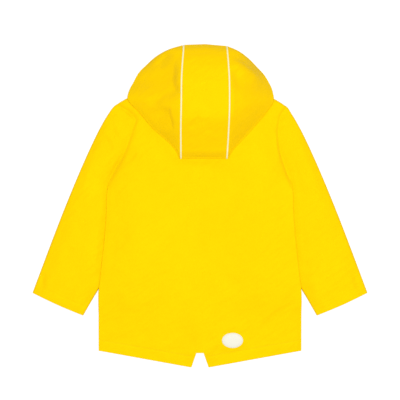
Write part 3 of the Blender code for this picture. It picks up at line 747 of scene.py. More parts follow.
# distance in plan from the side seams and armholes, and 1 along the armholes, 0 below the underarm
def nearSeams(x, y):
    away = [np.abs(nearLine(x, y, bodyOutline(side, 4) * (sign, 1))[0]) for side, sign in sideSign.items()]
    return np.minimum(*away), ease((y - 0.028) / 0.02)


# the furrow runs on between body and sleeve as far as they touch
def seamFurrow(x, y):
    away, armhole = nearSeams(x, y)
    end, over = body["besideEnd"]
    along = body["besideSleeve"] * ease((y - end) / over)
    depth = np.where(x < 0, *body["seamDepth"]) * (along + (1 - along) * armhole)
    return -depth * bell(away, body["seamWidth"])


# stitched hem: the doubled cloth stands a little proud, with a groove where it is sewn
def hemRelief(away, depth):
    groove = body["grooveDepth"] * bell(away - depth, body["grooveWidth"])
    return body["hemRaise"] * ease((depth - away) / 0.004) - groove


# the back: a patch between its sides, hem and shoulders, whose lowest rows rise to the slit; its
# height is backMid, brought halfway to the fronts at folded edges, plus folds, furrows and hem
def makeBack():
    hem, slit = np.array(body["hem"]), np.array(body["slit"])
    rows = body["backRows"]
    left, right = [bodyEdge(side, hem[1, 1], rows) * (sign, 1) for side, sign in sideSign.items()]
    fromEdge = right[0, 0] - cloth["fold"] * quarterIn
    stops = (fromEdge[-1], slit[1, 0], slit[0, 0], 0)
    outs = np.concatenate([fromEdge[:-1], spaced(stops, body["backColumns"])[:-1]])
    x = np.concatenate([-outs, outs[::-1]])
    bottom = np.stack([x, readTable(hem, np.abs(x))], axis=1)
    top, topX = shoulderEdge(left[-1], right[-1], (x - x[0]) / (x[-1] - x[0]))
    plan = patch(left, right, bottom, top)
    lift = readTable(slit, np.abs(x)) - hem[0, 1]
    rowShare = (plan[:, 0, 1] - plan[0, 0, 1]) / (plan[-1, 0, 1] - plan[0, 0, 1])
    plan[..., 1] += lift * np.clip(1 - rowShare / body["slitFade"], 0, 1)[:, None] ** 2
    turn = edgeTurn(plan, topX, True, True)
    px, py = plan[..., 0], plan[..., 1]
    relief = layFolds(px, py, backFolds) + layWaves(px, py, backWaves) + seamFurrow(px, py)
    relief += hemRelief(np.abs(nearLine(np.abs(px), py, hem[::-1])[0]), body["hemDepth"])
    height = backMid(px, py) - turn * halfApart(px, py) + relief * (1 - turn)
    away, along = nearSeams(px, py)
    thinned = along * (1 - np.where(px < 0, *body["seamLeft"]))
    pressed = 1 - thinned * (1 - ease(away / body["seamPress"]))
    return clothWall("backPanel", np.dstack([px, py, np.maximum(height, half)]), plan, pressed)


# a front: a patch from its outer seam in to the zip; its height is frontMid, brought halfway to the
# back at folded edges, plus its folds
def makeFront(side):
    outer = bodyEdge(side, body["frontHem"], body["frontRows"], cloth["lap"] + cloth["armholeGap"])
    inner = np.concatenate([[(body["frontEdge"], body["frontHem"])], smooth(outline["frontNeck"])])
    inner = walk(inner, edgeSteps(travelled(inner)[-1], body["frontRows"]))
    fromEdge = outer[0, 0] - cloth["fold"] * quarterIn
    even = np.linspace(fromEdge[-1], body["frontEdge"], body["frontColumns"])
    outs = np.concatenate([fromEdge, even[1:]])
    bottom = np.stack([outs, np.full(len(outs), body["frontHem"])], axis=1)
    top, topOut = shoulderEdge(outer[-1], inner[-1], (outs[0] - outs) / (outs[0] - outs[-1]))
    plan = patch(outer, inner, bottom, top) * (sideSign[side], 1)
    if side == "Right":
        plan, topOut = plan[:, ::-1], topOut[::-1]
    turn = edgeTurn(plan, topOut, side == "Left", side == "Right")
    px, py = plan[..., 0], plan[..., 1]
    relief = layFolds(np.abs(px), py, frontFolds)
    height = frontMid(px, py) + turn * halfApart(px, py) + relief * (1 - turn)
    return clothWall("frontPanel" + side, np.dstack([px, py, height]), plan)[0]


backPanel, backFace, backNormal = makeBack()
fronts = {side: makeFront(side) for side in sideSign}
print("body made")

sleeve = {
    "besideArmhole": 0.145,
    "cuffDepth": 0.017,
    "cuffLength": 0.022,
    "rows": (48, 78, 21),  # beside the armhole, below it, and along the cuff
    "cuffBow": 0.0016,
    "domeHeight": 0.001,
    "layerColumns": 58,
    "edgeThin": 0.5,  # share by which the tube thins towards its edges
    "edgeWidth": 0.3,
    "innerThin": (0.035, 0.04),  # the inner edge does so this near to the cuff, fading over the next
    "ends": 0.1,  # the outer edge begins to thin, and the dome ends, over this length
    "seamClosed": 0.95,
}
sleeveFolds = {
    "Left": (
        (
            0.0006, 0.006, 0.006, (-0.183, 0.035), (-0.1865, -0.005), (-0.195, -0.05), (-0.199, -0.105),
            (-0.203, -0.145),
        ),
        (0.0007, 0.006, 0.005, (-0.164, 0.176), (-0.156, 0.148), (-0.1445, 0.118)),
        (-0.0011, 0.005, 0.011, (-0.19, 0.118), (-0.183, 0.127), (-0.174, 0.12), (-0.167, 0.095)),
        (-0.0011, 0.0035, 0.0045, (-0.148, 0.098), (-0.156, 0.08), (-0.166, 0.062), (-0.176, 0.044)),
        (-0.001, 0.005, 0.006, (-0.296, -0.125), (-0.2985, -0.142), (-0.2965, -0.162)),
        (-0.0006, 0.014, 0.014, (-0.282, -0.09), (-0.29, -0.12), (-0.288, -0.15)),
        (-0.0004, 0.01, 0.01, (-0.22, 0.04), (-0.226, 0.01), (-0.228, -0.02)),
        shoulderFolds["Left"],
    ),
    "Right": (
        (
            0.0005, 0.006, 0.009, (0.145, 0.133), (0.158, 0.104), (0.1742, 0.0715), (0.1837, 0.0202),
            (0.189, -0.04), (0.1915, -0.09), (0.1976, -0.145),
        ),
        (
            -0.0006, 0.011, 0.011, (0.2, 0.042), (0.206, 0.005), (0.218, -0.035), (0.232, -0.085),
            (0.23, -0.125), (0.22, -0.156),
        ),
        (-0.0006, 0.008, 0.008, (0.174, 0.172), (0.178, 0.145), (0.186, 0.113)),
        (-0.0009, 0.009, 0.006, (0.29, -0.12), (0.296, -0.142), (0.299, -0.164)),
        (-0.0005, 0.008, 0.008, (0.25, -0.172), (0.272, -0.162), (0.296, -0.154)),
        shoulderFolds["Right"],
    ),
}


# a flat tube: the under layer from the inner seam out, round the outer edge, and the upper layer
# back; above the underarm both end at the armhole. Each is the same patch, half the sleeve's air
# under or over the tube's middle, which both reach at the folded edges
def makeSleeve(side):
    sign = sideSign[side]
    lower, end = armholeLine(side, cloth["lap"])
    outer = smooth((end, *outline["sleeveOuter"]))
    total, beside, cuff = travelled(outer)[-1], sleeve["rows"][0], sleeve["cuffLength"]
    outer = walk(outer, spaced((0, sleeve["besideArmhole"], total - cuff, total), sleeve["rows"]))
    outer[1:] -= (half, 0)
    seam = smooth(outline["sleeveInner"])
    length = travelled(seam)[-1]
    seam = walk(seam, spaced((0, length - cuff, length), sleeve["rows"][1:])[1:])
    inner = np.concatenate([evenly(lower[::-1], beside + 1), seam + (half, 0)])
    bow = (outer[-1] + inner[-1]) / 2 - (0.3 * sleeve["cuffBow"], sleeve["cuffBow"])
    columns = []
    for line in (np.array((end, lower[-1])), smooth((outer[-1], bow, inner[-1]))):
        wide = travelled(line)[-1]
        start = cloth["fold"] * quarterIn
        even = np.linspace(start[-1], wide - start[-1], sleeve["layerColumns"])[1:-1]
        columns.append(walk(line, np.concatenate([start, even, wide - start[::-1]])))
    plan = patch(outer, inner, *columns) * (sign, 1)
    px, py = plan[..., 0], plan[..., 1]
    turn = np.zeros(plan.shape[:2])
    turn[:, :turnSteps] = quarterTurn
    closed = ease((travelled(inner) - travelled(inner)[beside]) / 0.012)
    turn[:, -turnSteps:] = sleeve["seamClosed"] * closed[:, None] * quarterTurn[::-1]
    u = np.linspace(0, 1, plan.shape[1])
    fromTop = travelled(outer)[:, None]
    fromCuff = fromTop[-1] - fromTop
    outerEdge = (1 - ease(u / sleeve["edgeWidth"])) * ease(fromTop / sleeve["ends"])
    start, over = sleeve["innerThin"]
    innerEdge = (1 - ease((1 - u) / sleeve["edgeWidth"])) * (1 - ease((fromCuff - start) / over))
    thin = 1 - sleeve["edgeThin"] * (outerEdge + innerEdge)
    deep = (wall + sleeveAir(py, -inFromEdge(px, py)[0])) / 2 * thin
    relief = layFolds(px, py, sleeveFolds[side]) + layWaves(px, py, backWaves) + seamFurrow(px, py)
    relief += sleeve["domeHeight"] * np.sin(math.pi * u) * ease(fromCuff / sleeve["ends"])
    relief += hemRelief(fromCuff, sleeve["cuffDepth"])
    other = "Left" if side == "Right" else "Right"
    under = np.maximum(layFolds(-px, py, sleeveFolds[other]), 0) * 0.5
    upper = np.dstack([plan, half + deep + (deep + relief) * (1 - turn)])
    lowerLayer = np.dstack([plan, half + deep + (under - deep) * (1 - turn)])
    ring = np.concatenate([lowerLayer[:, ::-1], upper[:, 1:]], axis=1)
    return clothWall("sleeve" + side, ring[:, ::-1] if side == "Left" else ring)


sleeves = {side: makeSleeve(side) for side in sideSign}
print("sleeves made")

hood = {
    "foldY": 0.0886,
    "fold": 0.005,
    "foldFlat": 0.48,  # height of the soft folds, as a share of their depth
    "foldUnder": 0.0016,
    "foldOver": 0.00135,
    "foldSlope": 0.7,
    "hem": 0.019,
    "hemFold": 0.0015,
    "neckY": 0.205,
    "tuckFall": 0.032,  # past the shoulder the under layer comes down to the table over this far
    "seamHalf": 0.0016,
    "middle": 0.0095,  # the strip's own centre line
    "bow": 0.0012,  # rise of the strip's middle
    # a side panel's ribs lie from 0 at the bottom fold to 1 at the face edge; a pair holds where a
    # change begins and how long it takes
    "ownFrom": 0.15,  # this near to either end they take the strip's own height
    "early": (0.25, 0.3, 0.3, 0.15),  # weights of the four curves of their early fall to the rim
    "late": (0.18, 0.3),  # the fall turns from early to even,
    "steep": (0.62, 0.15),  # and a part of it goes to the last stretch beside the rim
    "hemmed": (0.46, 0.06),  # the stitched hem comes in
    "thickTo": (0.66, 0.5),  # the rim's fold is full from here on, and flatter below
    "mouthFrom": 0.74,  # from here on the face edge arches up to the strip's
    "ribCount": 120,
    "ribPoints": (60, 14, 30),  # above, round the rim's fold, below
    "stripColumns": 64,
    "turnedRows": (12, 14),  # round the face edge, and in the hem under it
    "rollLeft": 1.08,  # how late the side panels roll down to the face edge
    "rollRight": 1.4,
    "rimShare": 0.24,  # share of that fall left to the last stretch beside the rim
    "pipingRadius": 0.0015,
    "pipingProud": 0.0007,
    "pipingSunk": -0.001,  # it dives into the seam at the bottom fold
    "pipingEnd": 0.09,
    "top": ((-0.0304, 0.3041), (0.0095, 0.3055), (0.0509, 0.3019)),
    # the crown's height by the share of the way from the bottom fold to the face edge
    "rise": (
        (0.0, 0.0132), (0.03, 0.0173), (0.08, 0.0208), (0.17, 0.0272), (0.26, 0.0336), (0.33, 0.0379),
        (0.4, 0.0398), (0.48, 0.0403), (0.57, 0.0404), (0.71, 0.0397), (0.83, 0.0367), (0.92, 0.0316),
        (0.97, 0.0264), (1.0, 0.0205),
    ),
    "seamLeft": ((0.0361, 0.0886), (0.0361, 0.148), (0.0352, 0.195), (0.0346, 0.241), (0.0304, 0.305)),
    "seamRight": ((0.0509, 0.0886), (0.053, 0.1236), (0.0557, 0.195), (0.0551, 0.241), (0.0509, 0.3024)),
    # ribs of the side panels: seam y, fold radius, and then for the left and the right panel the rim
    # out and y, and the end of the under layer out and y
    "ribs": (
        (0.1, 0.0031, (0.0381, 0.0886, 0.0381, 0.106), (0.0529, 0.0886, 0.0529, 0.106)),
        (0.11, 0.003, (0.048, 0.107, 0.0381, 0.123), (0.062, 0.104, 0.0545, 0.123)),
        (0.128, 0.0028, (0.067, 0.126, 0.0381, 0.146), (0.079, 0.1225, 0.0555, 0.146)),
        (0.15, 0.0026, (0.092, 0.149, 0.0378, 0.17), (0.1, 0.146, 0.0562, 0.17)),
        (0.172, 0.0024, (0.115, 0.177, 0.0376, 0.193), (0.1205, 0.1705, 0.0572, 0.193)),
        (0.192, 0.0021, (0.1372, 0.2015, 0.054, 0.214), (0.1398, 0.199, 0.064, 0.216)),
        (0.212, 0.0016, (0.135, 0.2165, 0.072, 0.225), (0.1385, 0.213, 0.074, 0.225)),
        (0.232, 0.0014, (0.127, 0.233, 0.106, 0.226), (0.1325, 0.2305, 0.11, 0.225)),
        (0.25, 0.0013, (0.1165, 0.252, 0.099, 0.24), (0.1225, 0.2475, 0.104, 0.237)),
        (0.264, 0.0013, (0.1015, 0.2671, 0.088, 0.254), (0.1085, 0.2626, 0.094, 0.25)),
        (0.275, 0.0013, (0.0845, 0.2818, 0.074, 0.266), (0.0925, 0.2783, 0.081, 0.264)),
        (0.283, 0.0013, (0.0598, 0.2952, 0.054, 0.2775), (0.0717, 0.2931, 0.064, 0.276)),
        (0.287, 0.0013, (0.033, 0.3034, 0.033, 0.2855), (0.0529, 0.3012, 0.0529, 0.284)),
    ),
}
hoodFolds = (
    (
        -0.0052, 0.0085, 0.04, (-0.049, 0.279), (-0.0525, 0.256), (-0.053, 0.229), (-0.045, 0.213),
        (-0.039, 0.2),
    ),
    (-0.002, 0.012, 0.022, (-0.092, 0.206), (-0.083, 0.188), (-0.07, 0.174), (-0.06, 0.164)),
    (-0.0026, 0.0038, 0.02, (-0.0597, 0.19), (-0.0591, 0.1746), (-0.0555, 0.16), (-0.0521, 0.14)),
    (-0.0028, 0.01, 0.012, (-0.056, 0.29), (-0.07, 0.276), (-0.084, 0.26)),
    (0.004, 0.008, 0.013, (0.053, 0.276), (0.0735, 0.265), (0.0945, 0.25), (0.118, 0.226)),
    (-0.0016, 0.01, 0.008, (0.062, 0.264), (0.0665, 0.248), (0.072, 0.23), (0.074, 0.215)),
    (0.0008, 0.007, 0.01, (0.06, 0.23), (0.0625, 0.195), (0.061, 0.15)),
    (-0.0008, 0.006, 0.01, (-0.018, 0.142), (-0.006, 0.16), (0.005, 0.166)),
    (-0.0007, 0.01, 0.006, (0.005, 0.166), (0.012, 0.152), (0.018, 0.134)),
    (0.0005, 0.01, 0.01, (-0.02, 0.225), (0.0, 0.233), (0.03, 0.23), (0.045, 0.224)),
)
bottomY = hood["foldY"] + half + hood["fold"]


# y of the face edge over the centre strip
def hoodTop(x):
    return readTable(hood["top"], x)


# height of the upper layer along the centre strip
def crown(x, y):
    return readTable(smooth(hood["rise"]), (y - bottomY) / (hoodTop(x) - half - hood["hemFold"] - bottomY))


# how far out a hood seam lies at each y
def seamOut(side, y):
    return outAt(smooth(hood["seam" + side]), y)


# the strip's path from the neck: under layer, half round the bottom fold, over the crown
def stripPath(x, underCount=60, foldCount=16, upperCount=130):
    underY = np.linspace(hood["neckY"], bottomY, underCount)
    under = np.column_stack([underY, tuckMid(np.full(underCount, x), underY)])
    angle = np.linspace(-math.pi / 2, math.pi / 2, foldCount + 2)[1:-1]
    out, turned = 1 - np.cos(angle), np.sin(angle)
    over = hood["foldUnder"] + hood["foldOver"] * turned + hood["foldSlope"] * hood["fold"] * out**2 / 2
    z = under[-1, 1] + np.where(angle < 0, hood["foldUnder"] * (1 + turned), over)
    fold = np.column_stack([bottomY - hood["fold"] * (1 - out), z])
    upperY = np.linspace(bottomY, hoodTop(x) - half - hood["hemFold"], upperCount)
    return under, fold, np.column_stack([upperY, crown(np.full(upperCount, x), upperY)])


# stitched face hem of the hood, by the distance in from the face edge
def faceRelief(away):
    return 0.5 * hemRelief(away, hood["hem"])


# the centre strip: its path in side view, carried across from seam to seam, with the face hem turned
# under; the upper layer bows up in its middle, and its end follows the slant of the face edge
def makeHoodStrip():
    under, fold, upper = stripPath(hood["middle"])
    edge = upper[-1]
    turnCount, hemCount = hood["turnedRows"]
    angle = np.linspace(math.pi / 2, -math.pi / 2, turnCount)[1:-1]
    turned = edge + hood["hemFold"] * np.column_stack([np.cos(angle), np.sin(angle) - 1])
    back = np.linspace(0, hood["hem"], hemCount)
    hem = np.column_stack([edge[0] - back, np.full(len(back), edge[1] - 2 * hood["hemFold"])])
    y, z = np.concatenate([under, fold, upper, turned, hem]).T
    left, right = hood["seamHalf"] - seamOut("Left", y), seamOut("Right", y) - hood["seamHalf"]
    first = len(under) + len(fold)
    top = slice(first, first + len(upper))
    bow = np.zeros(len(y))
    bow[top] = hood["bow"]
    follow = np.clip((y - hood["foldY"]) / (edge[0] - hood["foldY"]), 0, 1) ** 6
    follow[: len(under)] = 0
    share = np.linspace(0, 1, hood["stripColumns"])
    x = left[:, None] + share * (right - left)[:, None]
    slanted = y[:, None] + follow[:, None] * (hoodTop(x) - hoodTop(hood["middle"]))
    mid = np.dstack([x, slanted, z[:, None] + bow[:, None] * (1 - (2 * share - 1) ** 2)])
    relief = np.zeros(x.shape)
    away = travelled(upper)[-1] - travelled(upper)
    relief[top] = layFolds(x[top], mid[top, :, 1], hoodFolds) + faceRelief(away)[:, None]
    relief[top] *= ease((away + 0.004) / 0.004)[:, None]
    made, face, normal = clothWall("hoodStrip", mid + gridNormals(mid) * relief[..., None])
    row = first + np.argmin(np.abs(away - hood["hem"]))
    return made, face[row, 1:-1], normal[row, 1:-1]


# a side panel as ribs: from the crown seam out to the rim, half round the rim's fold, and back
# underneath. A rib comes down from the crown's height to the rim's by a share of its way out, and
# those beside the strip take the strip's own height
def makeHoodSide(side):
    sign = sideSign[side]
    ribs = [(y, *sides[side == "Right"], fold) for y, fold, *sides in hood["ribs"]]
    ribs = evenly(smooth(ribs), hood["ribCount"])
    aboveCount, foldCount, belowCount = hood["ribPoints"]
    seamY, rimOut, rimY, tuckOut, tuckY, fold = ribs.T
    place = np.linspace(0, 1, len(ribs))
    own = (ease(place / hood["ownFrom"]) * ease((1 - place) / hood["ownFrom"]))[:, None]

    def past(key):
        start, over = hood[key]
        return ease((place - start) / over)[:, None]

    def beside(out, y):
        return np.column_stack([np.maximum(out, seamOut(side, y) + hood["seamHalf"]), y]) * (sign, 1)

    seam, rim, tuck = beside(0, seamY), beside(rimOut, rimY), beside(tuckOut, tuckY)
    way = unit(rim - seam)
    turn = rim - way * (fold + half)[:, None]
    level = tuckMid(*turn.T)
    arched = ease((place - hood["mouthFrom"]) / (1 - hood["mouthFrom"]))
    mouth = (hood["rise"][-1][1] - 2 * fold * hood["foldFlat"] - level[-1]) * arched
    low = (level + mouth)[:, None]
    t = np.linspace(0, 1, aboveCount)
    upperPlan = between(seam, turn, t)
    x, y = upperPlan[..., 0], upperPlan[..., 1]
    late, steep = past("late"), hood["rimShare"] * past("steep")
    early = sum(weight * curve for weight, curve in zip(hood["early"], (t**1.3, ease(t), t, t**4)))
    fall = (1 - late) * early
    fall += late * ((1 - steep) * t ** hood["roll" + side] + steep * t**6)
    end, over = hood["thickTo"]
    thick = (2 * fold * (1 - (1 - hood["foldFlat"]) * ease((end - place) / over)))[:, None]
    arch = low + thick + (crown(*seam.T)[:, None] - low - thick) * (1 - fall)
    upper = np.dstack([upperPlan, own * arch + (1 - own) * crown(x, y)])
    angle = np.linspace(math.pi / 2, -math.pi / 2, foldCount)[1:-1]
    foldPlan = turn[:, None] + way[:, None] * (fold[:, None] * np.cos(angle))[..., None]
    rounded = np.dstack([foldPlan, low + thick / 2 * (1 + np.sin(angle))])
    underPlan = between(turn, tuck, np.linspace(0, 1, belowCount))
    under = np.dstack([underPlan, tuckMid(underPlan[..., 0], underPlan[..., 1]) + mouth[:, None]])
    mid = np.concatenate([upper, rounded, under], axis=1)
    toEdge = np.linalg.norm(upper - upper[:, -1:], axis=2)
    relief = np.zeros(mid.shape[:2])
    relief[:, : len(t)] = layFolds(x, y, hoodFolds) * ease(toEdge / 0.02)
    relief[:, : len(t)] += past("hemmed") * faceRelief(toEdge) * ease(toEdge / 0.003)
    mid = mid + gridNormals(mid) * sign * relief[..., None]
    rows = np.arange(len(ribs) // 2, len(ribs) - 1)
    picks = np.abs(toEdge[rows] - hood["hem"]).argmin(axis=1)
    if side == "Left":
        mid, picks = mid[:, ::-1], mid.shape[1] - 1 - picks
    made, face, normal = clothWall("hoodSide" + side, mid)
    return made, face[rows, picks], normal[rows, picks]


# a round cord along the strip's path at its seam, a little proud of the cloth
def makePiping(side):
    sign = sideSign[side]
    under, fold, upper = stripPath(sign * float(seamOut(side, 0.2)), 30, 10, 90)
    rows = np.concatenate([under, fold, upper, [upper[-1] + (hood["hemFold"], -hood["hemFold"])]])
    slope = unit(np.gradient(rows, axis=0))
    shown = ease((rows[:, 0] - hood["pipingEnd"]) / 0.004)
    shown[: len(under)] = 0
    proud = hood["pipingSunk"] + (hood["pipingProud"] - hood["pipingSunk"]) * shown
    y, z = rows[:, 0] - slope[:, 1] * proud, rows[:, 1] + slope[:, 0] * proud
    line = np.column_stack([sign * seamOut(side, y), y, z])
    return roundTube("piping" + side, line, hood["pipingRadius"], 12, creamCloth)


# a front end of the hood: straight lines from the neck seam to the face edge, flat on the table
def makeHoodEnd(side):
    neck = evenly(smooth(outline["frontNeck"]) + (0, 0.0006), 60)
    face = evenly(smooth(outline["hoodFace"]), 60)
    plan = between(neck, face, np.linspace(0, 1, 24)) * (sideSign[side], 1)
    mid = np.dstack([plan, np.full(plan.shape[:2], half)])
    return clothWall("hoodEnd" + side, mid[:, ::-1] if side == "Left" else mid)[0]


hoodStrip, *stripRun = makeHoodStrip()
hoodSides = {side: makeHoodSide(side) for side in sideSign}
piping = {side: makePiping(side) for side in sideSign}
hoodEnds = {side: makeHoodEnd(side) for side in sideSign}
print("hood made")

plainPatch = {
    "at": (0.0618, -0.2558),
    "size": (0.04, 0.029),
    "sunk": 0.0002,
    "thick": 0.0009,
    "edge": 0.0006,
    "dome": 0.0005,
    "seamIn": 0.0016,
}


# plain oval cloth patch, domed a little, with a line of stitches inside its edge
def makePatch():
    circle = roundly(64)
    at, size = np.array(plainPatch["at"]), np.array(plainPatch["size"]) / 2
    low = float(backMid(*at[:, None])[0]) + half
    high = low + plainPatch["thick"]
    shape = at + size * circle
    edge, dome = plainPatch["edge"], plainPatch["dome"]
    made = roundedPlate("plainPatch", shape, low - plainPatch["sunk"], high, edge, dome, whiteCloth)
    loop = at + (size - plainPatch["seamIn"]) * np.concatenate([circle, circle[:1]])
    loop = np.column_stack([loop, np.full(len(loop), high + plainPatch["sunk"])])
    return made, (loop, np.tile((0.0, 0.0, 1.0), (len(loop), 1)))


plainPatchPiece, patchRun = makePatch()


# one narrow woven tape, which rises smoothly from beside the front's edge to the teeth and ripples
def makeTape(side):
    columns, rows = zipper["tapeGrid"]
    height, pitch = zipper["ripple"]
    out = zipper["tapeInner"] + zipper["tapeWidth"] * np.linspace(0, 1, columns)
    y = np.linspace(zipper["bottom"], zipper["top"], rows)
    x, y = np.meshgrid(out if side == "Right" else -out[::-1], y)
    share = (np.abs(x) - zipper["tapeInner"]) / zipper["tapeWidth"]
    low = wall + zipper["tapeThick"] / 2 + cloth["seamGap"]
    ripple = height * np.sin(2 * math.pi * (y / pitch + 0.2 * share)) * share
    z = zipper["middle"] + (low - zipper["middle"]) * ease(share / 0.6) + ripple
    return clothWall("zipTape" + side, np.dstack([x, y, z]), thick=zipper["tapeThick"], finish=tapeCloth)[0]


# moulded teeth: each runs from its own tape past the middle, narrow at its neck and broad at its head
tooth = (  # distance past the middle, half width, half height
    (-0.004, 0.0003, 0.0005), (-0.0037, 0.0008, 0.0008), (-0.003, 0.0008, 0.0009),
    (-0.0012, 0.00045, 0.0009), (-0.0002, 0.0006, 0.0009), (0.001, 0.0006, 0.0009), (0.0014, 0.0003, 0.0006),
)


def makeTeeth():
    low = zipper["bottom"] + zipper["stopLength"] + zipper["toothEnd"]
    high = zipper["chainTop"] - zipper["toothEnd"]
    count = int((high - low) / zipper["toothPitch"]) * 2
    reach, wide, tall = np.array(tooth)[..., None].transpose(1, 0, 2)
    circle = roundly(12, 4)
    one = [reach + 0 * circle[:, 0], wide * circle[:, 0], zipper["middle"] + tall * circle[:, 1]]
    one = np.stack(one, axis=-1).reshape(-1, 3)
    side = np.where(np.arange(count) % 2, -1.0, 1.0)
    points = one[None] * np.stack([side, side, np.ones(count)], axis=1)[:, None]
    points[..., 1] += np.linspace(low, high, count)[:, None]
    return putCopies("zipTeeth", points, stackFaces(len(tooth), 12)[:, ::-1], toothPlastic)


# a rounded oblong's outline about a place, its half sizes given; above 2 the corners get squarer
def oblong(halfWide, halfLong, square=5, points=48, at=(0, 0)):
    return roundly(points, square) * (halfWide, halfLong) + at


# several parts made one piece
def joined(name, pieces):
    with bpy.context.temp_override(active_object=pieces[0], selected_editable_objects=pieces):
        bpy.ops.object.join()
    pieces[0].name = name
    return pieces[0]


# the block that closes the chain at its lower end
def makeStop():
    length = zipper["stopLength"] / 2
    shape = oblong(zipper["chainHalf"], length, at=(0, zipper["bottom"] + length))
    low = zipper["middle"] - zipper["thick"] / 2
    return roundedPlate("zipStop", shape, low, low + zipper["thick"], 0.0004, 0.0001)


# two plates that narrow towards the closed teeth, the post between them, their side rails, and on
# the face two ears that hold the pull's pin
def makeSlider():
    low, high, plate = zipper["sliderLow"], zipper["sliderHigh"], zipper["plate"]
    wide, length = np.array(zipper["slider"]) / 2
    y, narrow = zipper["sliderY"], zipper["narrow"]
    shape = oblong(wide, length, 4)
    shape[:, 0] *= 1 - narrow + narrow * ease((shape[:, 1] + length * 0.6) / length)
    shape += (0, y)
    post = oblong(*zipper["post"], 2, 24, (0, y + length * 0.52))
    parts = [
        roundedPlate("plate", shape, low, low + plate, 0.0003),
        roundedPlate("plate", shape, high - plate, high, 0.0003, 0.0001),
        roundedPlate("post", post, low + 0.0006, high - 0.0006, 0.0002),
    ]
    hingeY, hingeZ = zipper["hinge"]
    ear = oblong(*zipper["ear"], 3, 24, (hingeY, hingeZ + 0.0003))
    rivet = oblong(*zipper["rivet"], 2, 16, (hingeY, hingeZ))
    railWide, railLong = zipper["rail"]
    for sign in (-1, 1):
        at = (sign * (wide - 2 * railWide), y - length * 0.22)
        rail = oblong(railWide, length * railLong, 4, 32, at)
        for start in (low + 0.0006, high - 0.0014):
            parts.append(roundedPlate("rail", rail, start, start + plate, 0.0002))
        for shape, span, edge in ((ear, zipper["earSpan"], 0.0002), (rivet, zipper["rivetSpan"], 0.0001)):
            made = roundedPlate("ear", shape, *span, edge)
            made.data.transform(Matrix(((0, 0, sign, 0), (1, 0, 0, 0), (0, 1, 0, 0), (0, 0, 0, 1))))
            if sign < 0:
                made.data.flip_normals()
            parts.append(made)
    return joined("zipSlider", parts)


# the tab, with a waist and a ribbed grip
def makePull():
    wide, length, thick = zipper["pull"]
    hingeY, hingeZ = zipper["hinge"]
    depth, place, width = zipper["waist"]
    count, pitch = zipper["ribs"]
    ribLong, ribWide = zipper["rib"]
    shape = oblong(wide / 2, length / 2, 7, 72)
    shape[:, 0] *= 1 - depth * bell(shape[:, 1] / length + 0.5 - place, width)
    shape += (0, hingeY + zipper["pullHead"] - length / 2)
    low = hingeZ - thick / 2
    parts = [roundedPlate("tab", shape, low, low + thick, 0.0003)]
    for k in range(count):
        rib = oblong(wide * ribLong, ribWide, 3, 24, (0, hingeY - length * 0.93 + k * pitch))
        parts.append(roundedPlate("rib", rib, low - 0.00018, low + 0.0003, 0.00012))
    return joined("zipPull", parts)


tapes = {side: makeTape(side) for side in sideSign}
zipTeeth, zipStop, zipSlider, zipPull = makeTeeth(), makeStop(), makeSlider(), makePull()
print("zip made")

# the grid rows that the hem's and the cuffs' stitches follow, and how near they come to the slit
hemRow, cuffRow, besideSlit = 18, -5, 0.019
slitColumn = int(np.argmin(np.abs(backFace[hemRow, :, 0] + besideSlit)))
hemSpans = (slice(8, slitColumn), slice(backFace.shape[1] - slitColumn, -8))
hemRuns = [(backFace[hemRow, span], backNormal[hemRow, span]) for span in hemSpans]
hemStitches = sewStitches("hemStitches", hemRuns)
hoodStitches = sewStitches("hoodStitches", [stripRun, *[hoodSides[side][1:] for side in sideSign]])
patchStitches = sewStitches("patchStitches", [patchRun], whiteCloth)
cuffStitches = {}
for side in sideSign:
    made, face, normal = sleeves[side]
    centre = face.shape[1] // 2
    upperLayer = slice(3, centre - 3) if side == "Left" else slice(centre + 3, -3)
    cuffRun = (face[cuffRow, upperLayer], normal[cuffRow, upperLayer])
    cuffStitches[side] = sewStitches("cuffStitches" + side, [cuffRun])
print("stitches sewn")

stage = {"floor": 6.0, "cameraHeight": 4.0, "shownWidth": 0.76, "aimY": 0.0107, "paper": 0.6, "sky": 0.63}


# a pale floor that glows for the camera alone, under an even sky
def makeStage():
    bpy.ops.mesh.primitive_plane_add(size=stage["floor"], location=(0, 0, -0.0004))
    floor = bpy.context.object
    floor.name = "paleFloor"
    made = Finish("paleFloor", (0.35, 0.35, 0.35), 0.9, {"Specular IOR Level": 0.0})
    made.shade(made.clouds(0.05), (0.54, 0.54, 0.54), (0.56, 0.56, 0.56))
    own = Wire(made, made.surface.outputs[0])
    paper = made.add("ShaderNodeEmission", {}, {"Color": (1, 1, 1, 1), "Strength": stage["paper"]})
    both = made.add("ShaderNodeAddShader", {}, {0: own, 1: paper})
    seen = made.add("ShaderNodeLightPath")
    shown = made.add("ShaderNodeMixShader", {}, {0: seen, 1: own, 2: both})
    made.tree.links.new(shown.socket, made.tree.nodes["Material Output"].inputs[0])
    floor.data.materials.append(made.material)
    world = bpy.data.worlds.new("studio")
    world.use_nodes = True
    sky = world.node_tree.nodes["Background"].inputs
    sky[0].default_value = (1, 1, 1, 1)
    sky[1].default_value = stage["sky"]
    bpy.context.scene.world = world


# a square soft light that looks at a point
def softLight(name, place, target, size, power):
    data = bpy.data.lights.new(name, "AREA")
    data.size = size
    data.energy = power
    light = addObject(name, data)
    light.location = place
    x, y, z = unit(np.array(target, float) - place)
    light.rotation_euler = (math.acos(-z), 0, math.atan2(y, x) - math.pi / 2)


# looks straight down from high up, so that little is drawn in perspective
def makeCamera():
    data = bpy.data.cameras.new("camera")
    data.lens = data.sensor_width * stage["cameraHeight"] / stage["shownWidth"]
    data.clip_end = 30
    camera = addObject("camera", data)
    camera.location = (0, stage["aimY"], stage["cameraHeight"])
    bpy.context.scene.camera = camera


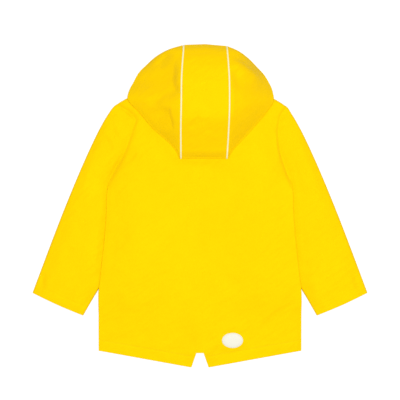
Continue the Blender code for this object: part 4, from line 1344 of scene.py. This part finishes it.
makeStage()
softLight("keyLight", (0.25, 0.22, 4.3), (0.0, 0.05, 0), 1.0, 94.5)
makeCamera()
bpy.context.scene.view_settings.view_transform = "Standard"
print("stage set")


# each piece goes to the body that carries it and hides the solids it stands for; its slot is not used
def lay(piece, slot, *nodes, carrier="root"):
    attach(piece, carrier)
    if nodes:
        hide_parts(*nodes)


lay(backPanel, "softshell", "back")
for side in sideSign:
    tail = "_" + side.lower()
    lay(fronts[side], "softshell", "front" + tail)
    lay(sleeves[side][0], "softshell", "sleeve" + tail)
    lay(hoodSides[side][0], "softshell", "hood" + tail)
    lay(hoodEnds[side], "softshell", "hood_end" + tail)
    lay(piping[side], "reflective", "piping" + tail)
    lay(cuffStitches[side], "softshell")
    lay(tapes[side], "zip_tape", "zip_tape" + tail)
lay(hoodStrip, "softshell", "hood_center")
lay(plainPatchPiece, "reflective", "badge")
lay(hemStitches, "softshell")
lay(hoodStitches, "softshell")
lay(patchStitches, "reflective")
lay(zipTeeth, "zip_tape", "zip_chain")
lay(zipStop, "zip_metal", "zip_stop")
lay(zipSlider, "zip_metal", "zip_slider")
lay(zipPull, "zip_metal", "zip_pull", carrier="pull")

# the flat cut of each sheet: width, length, what it lies on, and what is sewn to it
arms = [sleeves[side][0] for side in sideSign]
trim = [plainPatchPiece, patchStitches, hemStitches]
cuts = [(backPanel, 0.385, 0.53, [*fronts.values(), *arms], trim)]
cuts += [(fronts[side], 0.1885, 0.497, [sleeves[side][0], "paleFloor"], []) for side in sideSign]
cuts += [(sleeves[side][0], 0.256, 0.399, ["paleFloor"], [cuffStitches[side]]) for side in sideSign]
cuts += [(hoodStrip, 0.093, 0.368, [backPanel], [*piping.values(), hoodStitches])]
cuts += [(hoodSides["Left"][0], 0.189, 0.307, [backPanel], [])]
cuts += [(hoodSides["Right"][0], 0.166, 0.284, [backPanel], [])]
cuts += [(hoodEnds[side], 0.03, 0.11, ["paleFloor"], []) for side in sideSign]
tapeLong = zipper["top"] - zipper["bottom"]
cuts += [(tapes[side], zipper["tapeWidth"], tapeLong, [fronts[side]], []) for side in sideSign]
for piece, wide, length, on, sewn in cuts:
    # real cloth in the piece, seen flat: the mean of its two faces
    area = min(sum(face.area for face in piece.data.polygons) / 2, wide * length)
    print(f"{piece.name}: {wide:.3f} x {length:.3f} m, {area:.4f} m2")
